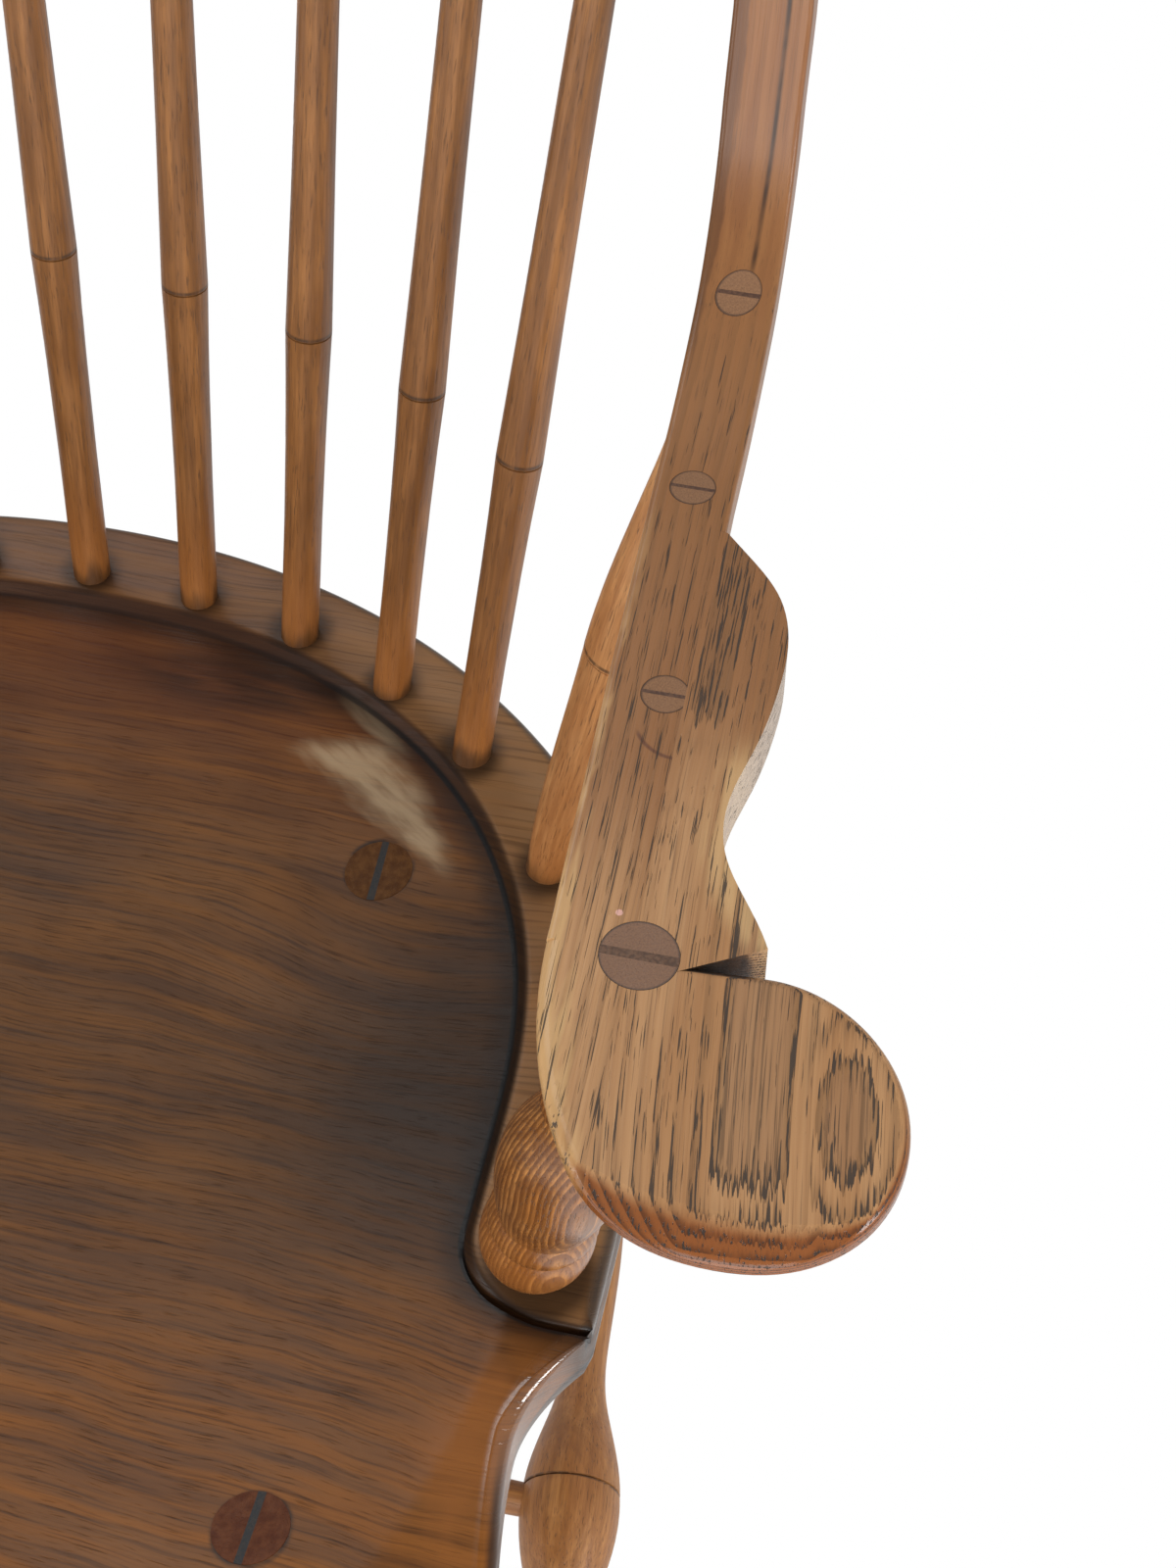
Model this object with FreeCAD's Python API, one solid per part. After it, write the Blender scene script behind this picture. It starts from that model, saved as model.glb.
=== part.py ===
import FreeCAD, Part
import math
import os

os.makedirs("parts", exist_ok=True)

# A continuous-arm windsor chair in millimetres. +Z is up, -Y is the front, +X is the
# sitter's left. The floor is z = 0 and the origin is under the middle of the chair.

Vector = FreeCAD.Vector

# Seat plank
seat_height = 440.0
seat_thickness = 46.0
seat_half_width = 252.0
seat_middle_y = -35.7
seat_back_reach = 223.4
seat_front_reach = 210.0
rim_power = 2.07
deck_edge_round = 5.0
seat_edge_height = 20.0
undercut_inset = 34.0

# Ears, side scoops and front corners of the plank
ear_reach = 71.0
scoop_depth = 16.0
scoop_run = 36.0
scoop_power = 1.8
front_flare = 8.0
front_corner = 46.0
front_crown = 5.0

# Dished sitting surface inside the gutter
gutter_half_width = 204.0
gutter_back_reach = 184.4
gutter_power = 2.3
gutter_side_run = 40.0
gutter_ear_width = 35.0
gutter_depth = 4.5
gutter_slope_width = 4.0
dish_depth = 19.0
dish_front_reach = 262.0
front_roll_width = 30.0
front_roll_drop = 11.0
pommel_height = 5.0
pommel_width = 48.0
pommel_run = 75.0

# Spindles in the deck, by distance along their curve from the middle of the back
long_spindle_count = 9
long_spindle_gap = 43.3
first_short_gap = 57.7
short_spindle_gap = 50.5
spindle_half_width = 228.9
spindle_back_reach = 197.8
spindle_socket_depth = 24.0
spindle_foot_radius = 6.9
spindle_node_radius = 7.9
spindle_node_height = 142.0
spindle_node_drop = 4.0
spindle_tip_radius = 4.8
short_foot_radius = 7.8
short_belly_radius = 11.9
short_belly_share = 0.46
short_tip_radius = 6.2
scribe_depth = 1.0

# Arm and bow: the arm line runs along the middle of the upper face
arm_height = 233.0
arm_half_spread = 251.6
arm_toe = 0.0325
bow_width = 22.2
bow_thickness = 18.0
bow_face_round = 1.6
bow_back_round = 7.0
hand_front_y = -195.7
bend_start_y = 34.3
easy_bend_radius = 170.0
easy_bend_angle = 22.0
tight_bend_radius = 68.0
back_angle = 67.0
hoop_half_width = 247.0
hoop_spring_height = 300.0
hoop_crest_height = 505.0
hoop_power = 2.15
hoop_spindle_gap = 58.4

# Where the stump and the short spindles pierce the arm: (y, distance outboard of the arm line)
stump_pierce = (-119.0, 11.6)
short_pierces = ((98.0, 0.4), (33.3, -0.4), (-39.2, 4.3))

# Outline of the arm block and the hand: (outboard of the arm line, back of the hand's front)
block_tail = (9.7, 214.7)
block_side = ((19.1, 205.3), (27.0, 195.5), (31.8, 182.0), (32.4, 164.0), (29.9, 144.0),
              (26.4, 124.0), (28.6, 110.6), (36.6, 96.9))
notch_upper = (43.7, 85.1)
notch_tip = (29.0, 77.0)
notch_lower = (45.0, 77.9)
hand_rim = ((60.7, 74.7), (78.5, 58.9), (84.6, 37.6), (78.4, 17.1), (62.9, 5.0), (44.9, 2.0),
            (26.7, 5.3), (15.1, 12.7), (4.4, 27.6), (-2.7, 44.0))
hand_heel = (-8.4, 77.0)
hand_edge_round = 3.0
hand_middle = (40.0, 42.0)
hand_edge_depth = 5.5
hand_undercut_width = 12.0
hand_crown_run = 29.0
hand_crown = ((4.2, 0.0), (2.9, 0.3), (1.8, 1.6), (1.0, 4.8), (0.4, 9.0), (0.0, 13.0), (-1.0, 26.0))

# Arm stump
stump_base = (227.0, -82.2)
stump_socket_depth = 34.0
stump_foot_radius = 11.0
stump_foot_taper = 1.5
stump_ring_radius = 18.0
stump_body_radius = 19.0
stump_neck_radius = 9.7
stump_neck_share = 0.56
stump_collar_radius = 12.2
stump_tenon_radius = 9.6

# Legs: where they come through the seat, and their splay per millimetre of fall
front_leg_top = (165.8, -184.6)
front_leg_splay = (0.325, -0.123)
rear_leg_top = (139.2, 58.3)
rear_leg_splay = (0.27, 0.255)
leg_tenon_radius = 11.3
leg_shoulder_radius = 14.2
leg_vase_radius = 20.5
leg_neck_radius = 10.8
leg_ring_radius = 16.5
leg_swell_radius = 19.8
leg_foot_radius = 11.5

# Stretchers
stretcher_height = 167.4
stretcher_tenon_radius = 7.6
stretcher_tenon_past_axis = 4.0
side_slim_radius = 9.5
side_bulge_radius = 19.7
side_bulge_share = 0.488
side_bulge_half_length = 50.0
side_scribe_offset = 7.0
medial_end_radius = 6.8
medial_bulge_radius = 17.5
medial_tenon_depth = 15.0

# Wedges and fits
leg_wedge_thickness = 2.6
leg_wedge_length = 26.0
arm_wedge_thickness = 1.2
stump_wedge_thickness = 2.6
arm_wedge_length = 15.0
wedge_fine_share = 0.25
fit_gap = 0.1
trim_overrun = 14.0
straight_lap = 10.0

arm_top = seat_height + arm_height
straight_end_y = bend_start_y - straight_lap
half_long_count = (long_spindle_count - 1) // 2
sides = (("left", 1.0), ("right", -1.0))
up = Vector(0, 0, 1)


def superellipse(half_width, reach, power, angle):
    """A point of a rounded outline; the angle runs from +X (0) to +Y (90)."""
    across = math.cos(math.radians(angle))
    along = math.sin(math.radians(angle))
    x = math.copysign(abs(across) ** (2.0 / power), across) * half_width
    y = math.copysign(abs(along) ** (2.0 / power), along) * reach
    return x, y


def walk_back(half_width, reach, power, distance):
    """The point of a rounded outline at a distance along it from its middle at +Y."""
    walked = 0.0
    x, y = 0.0, reach
    angle = 90.0
    step = 0.05
    while walked < abs(distance):
        angle -= step
        next_x, next_y = superellipse(half_width, reach, power, angle)
        walked += math.hypot(next_x - x, next_y - y)
        x, y = next_x, next_y
    return math.copysign(x, distance), y, angle


def spline(points):
    """A smooth edge through points."""
    curve = Part.BSplineCurve()
    curve.interpolate([Vector(*p) for p in points])
    return curve.toShape()


def line(first, last):
    return Part.makeLine(Vector(*first), Vector(*last))


def on_side(shape, side):
    """The left piece as it is, or its mirror image for the right side."""
    return shape if side > 0 else shape.mirror(Vector(0, 0, 0), Vector(1, 0, 0))


def placed(shape, origin, axis, across=Vector(1, 0, 0)):
    """Stands a shape at origin with its Z along axis and its X leaning towards across."""
    z_axis = Vector(axis).normalize()
    y_axis = z_axis.cross(across).normalize()
    x_axis = y_axis.cross(z_axis).normalize()
    moved = shape.copy()
    moved.Placement = FreeCAD.Placement(FreeCAD.Matrix(
        x_axis.x, y_axis.x, z_axis.x, origin.x,
        x_axis.y, y_axis.y, z_axis.y, origin.y,
        x_axis.z, y_axis.z, z_axis.z, origin.z,
        0, 0, 0, 1))
    return moved


def turned(profile):
    """Turns a profile about Z. Each run of (height, radius) points is one smooth curve."""
    edges = []
    for run in profile:
        points = [(radius, 0, height) for height, radius in run]
        edges.append(spline(points) if len(points) > 2 else line(points[0], points[1]))
    bottom, bottom_radius = profile[0][0]
    top, top_radius = profile[-1][-1]
    edges.insert(0, line((0, 0, bottom), (bottom_radius, 0, bottom)))
    edges.append(line((top_radius, 0, top), (0, 0, top)))
    edges.append(line((0, 0, top), (0, 0, bottom)))
    return Part.Face(Part.Wire(edges)).revolve(Vector(0, 0, 0), up, 360)


def rod(start, axis, radius, length):
    return Part.makeCylinder(radius, length, start, axis)


def blade(outer_end, axis, across, thickness, length):
    """A tapered blade that fills a wedge's kerf from outer_end down against axis."""
    fine = thickness * wedge_fine_share
    wide = thickness + (thickness - fine) / length * trim_overrun
    reach = leg_vase_radius
    corners = ((-fine / 2, -length), (fine / 2, -length), (wide / 2, trim_overrun), (-wide / 2, trim_overrun))
    points = [Vector(-reach, side, height) for side, height in corners]
    face = Part.Face(Part.makePolygon(points + points[:1]))
    return placed(face.extrude(Vector(2 * reach, 0, 0)), outer_end, axis, across)


# Seat plank

def flank_points():
    """The plank's outline from the left ear round the front corner to the middle."""
    waist = seat_half_width - scoop_depth
    straight_start = -ear_reach - scoop_run
    corner_start = -seat_front_reach + front_corner
    corner_x = waist + front_flare - front_corner
    corner_end = -seat_front_reach + front_crown
    points = []
    for step in range(1, 9):
        share = step / 8.0
        bite = 1.0 - (1.0 - share) ** scoop_power
        points.append((seat_half_width - scoop_depth * bite, -ear_reach - scoop_run * share))
    for share in (0.34, 0.67, 1.0):
        along = straight_start + (corner_start - straight_start) * share
        points.append((waist + front_flare * share ** 1.6, along))
    for angle in (15, 30, 45, 60, 75, 90):
        turn = math.radians(angle)
        along = corner_start + (corner_end - corner_start) * math.sin(turn)
        points.append((corner_x + front_corner * math.cos(turn), along))
    for share in (0.8, 0.6, 0.4, 0.2, 0.0):
        points.append((corner_x * share, -seat_front_reach + front_crown * share ** 2))
    return points


def plank_wire(inset, height):
    """The plank's outline at a height, drawn in towards the plank's middle."""
    ear_side = [(seat_half_width, -ear_reach * share) for share in (1.0, 0.66, 0.33)]
    back = [superellipse(seat_half_width, seat_back_reach, rim_power, angle) for angle in range(0, 181, 6)]
    back = ear_side + back + [(-x, y) for x, y in reversed(ear_side)]
    flank = [ear_side[0]] + flank_points()
    front = [(-x, y) for x, y in flank] + list(reversed(flank[:-1]))
    runs = []
    for run in (back, front):
        shares = [1.0 - inset / math.hypot(x, y) for x, y in run]
        runs.append(spline([(x * s, y * s + seat_middle_y, height) for (x, y), s in zip(run, shares)]))
    return Part.Wire(runs)


def dish_fall(x, y):
    """How far the sitting surface lies below the deck at a point of the seat."""
    along = y - seat_middle_y
    reach = gutter_back_reach if along > 0 else dish_front_reach
    rise = (abs(x) / gutter_half_width) ** gutter_power + (abs(along) / reach) ** gutter_power
    share = min(rise ** (1.0 / gutter_power), 1.12)
    fall = gutter_depth + (dish_depth - gutter_depth) * (1.0 - share ** 3)
    from_front = along + seat_front_reach
    rolled = min(max(0.0, 1.0 - from_front / front_roll_width), 1.6)
    ridge = math.exp(-(x / pommel_width) ** 2 - (from_front / pommel_run) ** 2)
    return fall + front_roll_drop * rolled ** 2 - pommel_height * ridge


def space_over_dish():
    """Everything above the dished surface."""
    spacing = 12.0
    margin = 2 * spacing
    columns = int(2 * (seat_half_width + margin) / spacing) + 2
    rows = int((seat_back_reach + seat_front_reach + 2 * margin) / spacing) + 2
    grid = []
    for column in range(columns):
        x = -seat_half_width - margin + column * spacing
        ys = [seat_middle_y - seat_front_reach - margin + row * spacing for row in range(rows)]
        grid.append([Vector(x, y, seat_height - dish_fall(x, y)) for y in ys])
    surface = Part.BSplineSurface()
    surface.interpolate(grid)
    return surface.toShape().extrude(up * (dish_depth + trim_overrun * 2))


def gutter_wire(slope, height):
    """The plan of the dish at a height: inside the gutter, and out over the front between the ears."""
    ear = []
    for angle in range(270, 179, -10):
        turn = math.radians(angle)
        x = gutter_half_width + gutter_ear_width + (gutter_ear_width - slope) * math.cos(turn)
        ear.append((x, -gutter_side_run + (ear_reach - gutter_side_run - slope) * math.sin(turn)))
    side_x, back_y = gutter_half_width + slope, gutter_back_reach + slope
    ear.append((side_x, -gutter_side_run / 2.0))
    back = [superellipse(side_x, back_y, gutter_power, angle) for angle in range(0, 181, 6)]
    rim = ear + back + [(-x, y) for x, y in reversed(ear)]
    far_x = seat_half_width + 2 * trim_overrun
    far_y = -seat_front_reach - 2 * trim_overrun
    near_y = rim[0][1]
    corners = [rim[-1], (-far_x, near_y), (-far_x, far_y), (far_x, far_y), (far_x, near_y), rim[0]]
    edge = spline([(x, y + seat_middle_y, height) for x, y in rim])
    path = Part.makePolygon([Vector(x, y + seat_middle_y, height) for x, y in corners])
    return Part.Wire([edge] + path.Edges)


def gutter_prism():
    """The room over the dish, with a wall that slopes up from the gutter to the deck."""
    floor = seat_height - gutter_depth
    base = Part.Face(gutter_wire(0.0, floor)).extrude(up * (-dish_depth - trim_overrun))
    rise = gutter_slope_width / gutter_depth
    top = gutter_wire(gutter_slope_width + trim_overrun * rise, seat_height + trim_overrun)
    return Part.makeLoft([gutter_wire(0.0, floor), top], True, True).fuse(base)


def seat_plank():
    """The plank with its undercut edge, softened rim and dished top."""
    softened = 0.3 * deck_edge_round
    levels = ((undercut_inset, seat_thickness), (0.0, seat_edge_height), (0.0, deck_edge_round),
              (softened, softened), (deck_edge_round, 0.0))
    wires = [plank_wire(inset, seat_height - depth) for inset, depth in levels]
    return Part.makeLoft(wires, True, True).cut(gutter_prism().common(dish_space))


# Arm and bow

def arm_middle_x(y):
    return arm_half_spread - arm_toe * (y - seat_middle_y)


def station(point, outboard, normal):
    """A place on the bow's face, with its directions outboard and out of the face."""
    return {"point": point, "outboard": outboard, "normal": normal}


def bend_station(angle):
    """A station in the bend, by the angle that the arm has turned upwards."""
    easy = math.radians(min(angle, easy_bend_angle))
    tight_start = math.radians(easy_bend_angle)
    turn = math.radians(angle)
    y = bend_start_y + easy_bend_radius * math.sin(easy)
    z = arm_top + easy_bend_radius * (1 - math.cos(easy))
    if angle > easy_bend_angle:
        y += tight_bend_radius * (math.sin(turn) - math.sin(tight_start))
        z += tight_bend_radius * (math.cos(tight_start) - math.cos(turn))
    share = angle / back_angle
    x = arm_middle_x(bend_start_y) * (1 - share) + hoop_half_width * share
    return station(Vector(x, y, z), Vector(1, 0, 0), Vector(0, -math.sin(turn), math.cos(turn)))


def arm_station(y):
    """The station of the arm or its bend that lies at y."""
    if y <= bend_start_y:
        return station(Vector(arm_middle_x(y), y, arm_top), Vector(1, 0, 0), up)
    low, high = 0.0, back_angle
    for halving in range(30):
        middle = (low + high) / 2.0
        if bend_station(middle)["point"].y < y:
            low = middle
        else:
            high = middle
    return bend_station(low)


def hoop_station(angle):
    """A station of the hoop, from 0 at the top of its straight side to 90 at the crest."""
    foot = bend_station(back_angle)
    lean = math.radians(back_angle)
    rise = Vector(0, math.cos(lean), math.sin(lean))
    spring = (seat_height + hoop_spring_height - foot["point"].z) / math.sin(lean)
    crest = (hoop_crest_height - hoop_spring_height) / math.sin(lean)
    step = 0.4
    x, height = superellipse(hoop_half_width, crest, hoop_power, angle)
    low = superellipse(hoop_half_width, crest, hoop_power, angle - step)
    high = superellipse(hoop_half_width, crest, hoop_power, angle + step)
    outboard = Vector(1, 0, 0)
    if angle > 0:
        tangent = Vector(high[0] - low[0], 0, 0) + rise * (high[1] - low[1])
        outboard = tangent.cross(foot["normal"]).normalize()
    point = Vector(x, foot["point"].y, foot["point"].z) + rise * (spring + height)
    return station(point, outboard, foot["normal"])


def mirrored_station(place):
    point, outboard = place["point"], place["outboard"]
    return station(Vector(-point.x, point.y, point.z), Vector(outboard.x, -outboard.y, -outboard.z), place["normal"])


def bent_stations():
    """The stations from the left arm's bend over the crest to the right arm's bend."""
    left = [arm_station(straight_end_y), arm_station(bend_start_y)]
    for step in range(1, 4):
        left.append(bend_station(easy_bend_angle * step / 4.0))
    for step in range(7):
        left.append(bend_station(easy_bend_angle + (back_angle - easy_bend_angle) * step / 6.0))
    left += [hoop_station(angle) for angle in (0, 8, 16, 24, 32, 40, 48, 56, 64, 72, 81)]
    return left + [hoop_station(90)] + [mirrored_station(place) for place in reversed(left)]


def bow_section(place):
    """The bow's cross-section: a flat face with small corners and a rounded back."""
    half = bow_width / 2.0
    face, back = bow_face_round, bow_back_round
    cut = 1.0 - math.sqrt(0.5)

    def at(outboard, depth):
        return place["point"] + place["outboard"] * outboard - place["normal"] * depth

    def corner(first, middle, last):
        return Part.Arc(first, middle, last).toShape()

    p1, p2 = at(-half + face, 0), at(half - face, 0)
    p3, p4 = at(half, face), at(half, bow_thickness - back)
    p5, p6 = at(half - back, bow_thickness), at(-half + back, bow_thickness)
    p7, p8 = at(-half, bow_thickness - back), at(-half, face)
    edges = [Part.makeLine(p1, p2), corner(p2, at(half - face * cut, face * cut), p3),
             Part.makeLine(p3, p4), corner(p4, at(half - back * cut, bow_thickness - back * cut), p5),
             Part.makeLine(p5, p6), corner(p6, at(-half + back * cut, bow_thickness - back * cut), p7),
             Part.makeLine(p7, p8), corner(p8, at(-half + face * cut, face * cut), p1)]
    return Part.Wire(edges)


def on_arm(place, lift=0.0):
    """A point of the arm's plan, from its place outboard of the arm line and back of the hand."""
    outboard, back = place
    return (arm_half_spread + outboard, hand_front_y + back, arm_top - bow_thickness + lift)


def hand_wire(depth, draw_in):
    """The hand's rim at a depth, drawn in by an amount that depends on where it is."""
    rim = (notch_lower,) + hand_rim + (hand_heel,)
    points = []
    for index, (outboard, back) in enumerate(rim):
        away = Vector(outboard - hand_middle[0], back - hand_middle[1], 0)
        away = away * (1 - draw_in(index / (len(rim) - 1.0), back) / away.Length)
        points.append(on_arm((hand_middle[0] + away.x, hand_middle[1] + away.y), bow_thickness - depth))
    return Part.Wire([spline(points), line(points[-1], points[0])])


def hand_undercut():
    """What is pared away under the hand's rim, so that its edge looks thin from above."""
    deep = bow_thickness + hand_edge_round

    def fading(amount):
        return lambda step, back: amount * math.sin(math.pi * step) ** 0.5

    drawn_in = hand_undercut_width * (deep - hand_edge_depth) / (bow_thickness - hand_edge_depth)
    kept = Part.makeLoft([hand_wire(hand_edge_depth, fading(0.0)), hand_wire(deep, fading(drawn_in))], True, True)
    around = Part.Face(hand_wire(deep, fading(-hand_edge_round))).extrude(up * (deep - hand_edge_depth))
    return around.cut(kept)


def hand_slope():
    """What is pared away above the hand's front, where its face slopes down to the rim."""
    low, high = hand_crown[0][0], hand_crown[-1][0]

    def in_front(amount):
        return lambda step, back: (amount + spare) * max(0.0, 1.0 - back / hand_crown_run) - spare

    spare = hand_edge_round
    kept = Part.makeLoft([hand_wire(depth, in_front(draw_in)) for depth, draw_in in hand_crown], True, False)
    corner = Vector(arm_half_spread - 2 * bow_width, hand_front_y - trim_overrun, arm_top - low)
    around = Part.makeBox(2 * hand_rim[2][0], trim_overrun + hand_crown_run, low - high, corner)
    return around.cut(kept)


def arm_slab():
    """The arm's whole plan from its tail to the hand, with the hand's rim rounded over."""
    inner_tail = (-bow_width, block_tail[1])
    edges = [spline([on_arm(p) for p in (block_tail,) + block_side + (notch_upper,)]),
             line(on_arm(notch_upper), on_arm(notch_tip)),
             line(on_arm(notch_tip), on_arm(notch_lower)),
             spline([on_arm(p) for p in (notch_lower,) + hand_rim + (hand_heel,)]),
             line(on_arm(hand_heel), on_arm(inner_tail)),
             line(on_arm(inner_tail), on_arm(block_tail))]
    slab = Part.Face(Part.Wire(edges)).extrude(up * bow_thickness)
    rim = []
    for edge in slab.Edges:
        box = edge.BoundBox
        if abs(box.ZMin - arm_top) < 0.1 and box.YMin < hand_front_y + 2 * hand_edge_round:
            rim.append(edge)
    return slab.makeFillet(hand_edge_round, rim).cut([hand_undercut(), hand_slope()])


def outboard_region():
    """Everything outboard of the arm line, beside the arm."""
    front, back = hand_front_y - trim_overrun, hand_front_y + block_tail[1] + trim_overrun
    far = arm_half_spread + 2 * notch_upper[0] + trim_overrun
    low = arm_top - bow_thickness - trim_overrun
    corners = ((arm_middle_x(front), front), (far, front), (far, back), (arm_middle_x(back), back))
    points = [Vector(x, y, low) for x, y in corners]
    face = Part.Face(Part.makePolygon(points + points[:1]))
    return face.extrude(up * (bow_thickness + 2 * trim_overrun))


def hand_front_region():
    """Everything forward of the heel of the hand."""
    depth = hand_heel[1] + trim_overrun
    corner = Vector(arm_half_spread - 2 * bow_width, hand_front_y - trim_overrun, arm_top - bow_thickness - trim_overrun)
    return Part.makeBox(4 * bow_width, depth, bow_thickness + 2 * trim_overrun, corner)


# Turned members, each with 0 at the surface that it stands on

def stump_profile(length):
    """Foot, ring, bead, body, neck with a collar, and the tenon through the arm."""
    ring, body, neck = stump_ring_radius, stump_body_radius, stump_neck_radius
    collar = length * stump_neck_share
    socket = [(-stump_socket_depth, stump_foot_radius - stump_foot_taper), (0, stump_foot_radius)]
    foot = [(0, stump_foot_radius), (6, ring - 5.0), (13, ring - 1.4), (22, ring), (31, ring - 0.6), (36, ring - 1.8)]
    bead = [(36, ring - 1.8), (41, ring - 0.8), (46, ring - 1.4), (50, ring - 2.6)]
    vase = [(50, ring - 2.6), (62, body - 1.8), (80, body), (96, body - 0.3), (110, body - 2.8),
            (collar - 12, neck + 2.4), (collar, neck)]
    ridge = [(collar, neck), (collar + 4, stump_collar_radius), (collar + 11, stump_collar_radius), (collar + 15, neck)]
    tenon_start = length - bow_thickness - 8
    upper = [(collar + 15, neck), (collar + 42, neck + 1.6), (tenon_start - 24, neck + 1.2), (tenon_start, stump_tenon_radius)]
    tenon = [(tenon_start, stump_tenon_radius), (length + trim_overrun, stump_tenon_radius)]
    return [socket, foot, bead, vase, ridge, upper, tenon]


def long_spindle_profile(length, node):
    """A bamboo spindle: slim foot, one scribed node, then a taper to its tip inside the bow."""
    foot, swell, tip = spindle_foot_radius, spindle_node_radius, spindle_tip_radius
    slope = 0.3 * scribe_depth
    tip_start = length - bow_width
    rise = tip_start - node
    return [[(-spindle_socket_depth, foot), (0, foot)],
            [(0, foot), (node * 0.35, foot - 0.1), (node * 0.75, foot + 0.3), (node - slope, swell)],
            [(node - slope, swell), (node, swell - scribe_depth)],
            [(node, swell - scribe_depth), (node + slope, swell)],
            [(node + slope, swell), (node + rise * 0.2, foot + 0.1), (node + rise * 0.6, tip + 1.2), (tip_start, tip)],
            [(tip_start, tip), (length, tip)]]


def short_spindle_profile(length, belly):
    """A stout bamboo spindle: its belly is scribed below the middle, and its tip is slim."""
    foot, swell, tip = short_foot_radius, short_belly_radius, short_tip_radius
    slope = 0.3 * scribe_depth
    scribe = belly * 0.92
    tip_start = length - bow_thickness - 8
    rise = tip_start - belly
    return [[(-spindle_socket_depth, foot), (0, foot)],
            [(0, foot), (belly * 0.25, foot + 2.2), (belly * 0.5, foot + 3.0), (scribe - slope, swell - 0.2)],
            [(scribe - slope, swell - 0.2), (scribe, swell - scribe_depth)],
            [(scribe, swell - scribe_depth), (scribe + slope, swell - 0.1)],
            [(scribe + slope, swell - 0.1), (belly + rise * 0.15, swell - 0.4), (belly + rise * 0.45, foot + 1.7),
             (belly + rise * 0.75, tip + 0.9), (tip_start, tip)],
            [(tip_start, tip), (length, tip)]]


def leg_profile(length, joint):
    """A vase and ring leg, from its foot up to the tenon through the seat (0 is the dish)."""
    neck, ring, swell, foot = leg_neck_radius, leg_ring_radius, leg_swell_radius, leg_foot_radius
    shoulder = -leg_shoulder_fall
    waist = shoulder - 116
    spool = waist - 17
    second = spool - 14
    return [[(-length - trim_overrun, foot - 0.4), (joint - 110, foot + 2.4), (joint - 45, swell - 2.0), (joint, swell),
             (joint + 26, swell - 2.4), (second - 11, neck + 2.5)],
            [(second - 11, neck + 2.5), (second - 8, ring - 1), (second - 3, ring - 1), (second, neck + 1)],
            [(second, neck + 1), (spool - 7, neck), (spool, neck + 1)],
            [(spool, neck + 1), (spool + 5, ring), (spool + 12, ring), (waist, neck)],
            [(waist, neck), (waist + 24, leg_vase_radius - 4.5), (waist + 54, leg_vase_radius),
             (waist + 86, leg_shoulder_radius + 1.8), (shoulder - 8, leg_shoulder_radius - 2.0), (shoulder, leg_shoulder_radius)],
            [(shoulder, leg_shoulder_radius), (trim_overrun, leg_tenon_radius)]]


def side_stretcher_profile(front_reach, rear_reach):
    """Slim ends and a scribed bulge that takes the medial stretcher; 0 is the bulge's middle."""
    bulge = side_bulge_half_length
    slim, swell = side_slim_radius, side_bulge_radius
    first, last = 26 - front_reach, rear_reach - 26
    front = [(first, stretcher_tenon_radius), (first + 22, slim + 1.0), (-bulge - 28, slim), (-bulge, slim + 0.5),
             (-bulge * 0.72, slim + 3.9), (-bulge * 0.42, swell - 2.2), (-bulge * 0.15, swell),
             (side_scribe_offset - 0.5, swell - 0.1)]
    rear = [(side_scribe_offset + 0.5, swell - 0.1), (bulge * 0.42, swell - 2.2), (bulge * 0.72, slim + 3.9),
            (bulge, slim + 0.5), (bulge + 28, slim), (last - 22, slim + 1.0), (last, stretcher_tenon_radius)]
    scribe = (side_scribe_offset, swell - scribe_depth)
    return [[(-front_reach, stretcher_tenon_radius), front[0]], front, [front[-1], scribe], [scribe, rear[0]],
            rear, [rear[-1], (rear_reach, stretcher_tenon_radius)]]


def medial_stretcher_profile(length):
    """Slim ends and one long scribed swelling; 0 is the middle."""
    half, swell, end = length / 2.0, medial_bulge_radius, medial_end_radius
    left = [(-half + medial_tenon_depth, end), (-half * 0.62, end + 2.0), (-half * 0.3, swell - 4.5),
            (-half * 0.12, swell - 0.6), (-0.5, swell)]
    right = [(-along, radius) for along, radius in reversed(left)]
    scribe = (0, swell - scribe_depth)
    return [[(-half, end), left[0]], left, [left[-1], scribe], [scribe, right[0]], right, [right[-1], (half, end)]]


# The plank, the bow and the arm blocks before anything is bored

dish_space = space_over_dish()
seat = seat_plank()
hoop_stock = Part.makeLoft([bow_section(place) for place in bent_stations()], True, False)
arm_ends = (arm_station(hand_front_y - trim_overrun), arm_station(straight_end_y))
arm_stock = Part.makeLoft([bow_section(place) for place in arm_ends], True, True)
bow_stock = hoop_stock.fuse([on_side(arm_stock, side) for name, side in sides])
slab = arm_slab()
block_left = slab.common(outboard_region()).cut(arm_stock)
bow = bow_stock
for name, side in sides:
    bow = bow.cut(on_side(hand_front_region().cut(slab), side))
blocks = {name: on_side(block_left, side) for name, side in sides}
pieces = {}
leg_wedges = []
stump_wedges = []
short_wedges = []
long_wedges = []

# Legs: through tenons cut flush with the dish, wedged across the seat's grain

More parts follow.
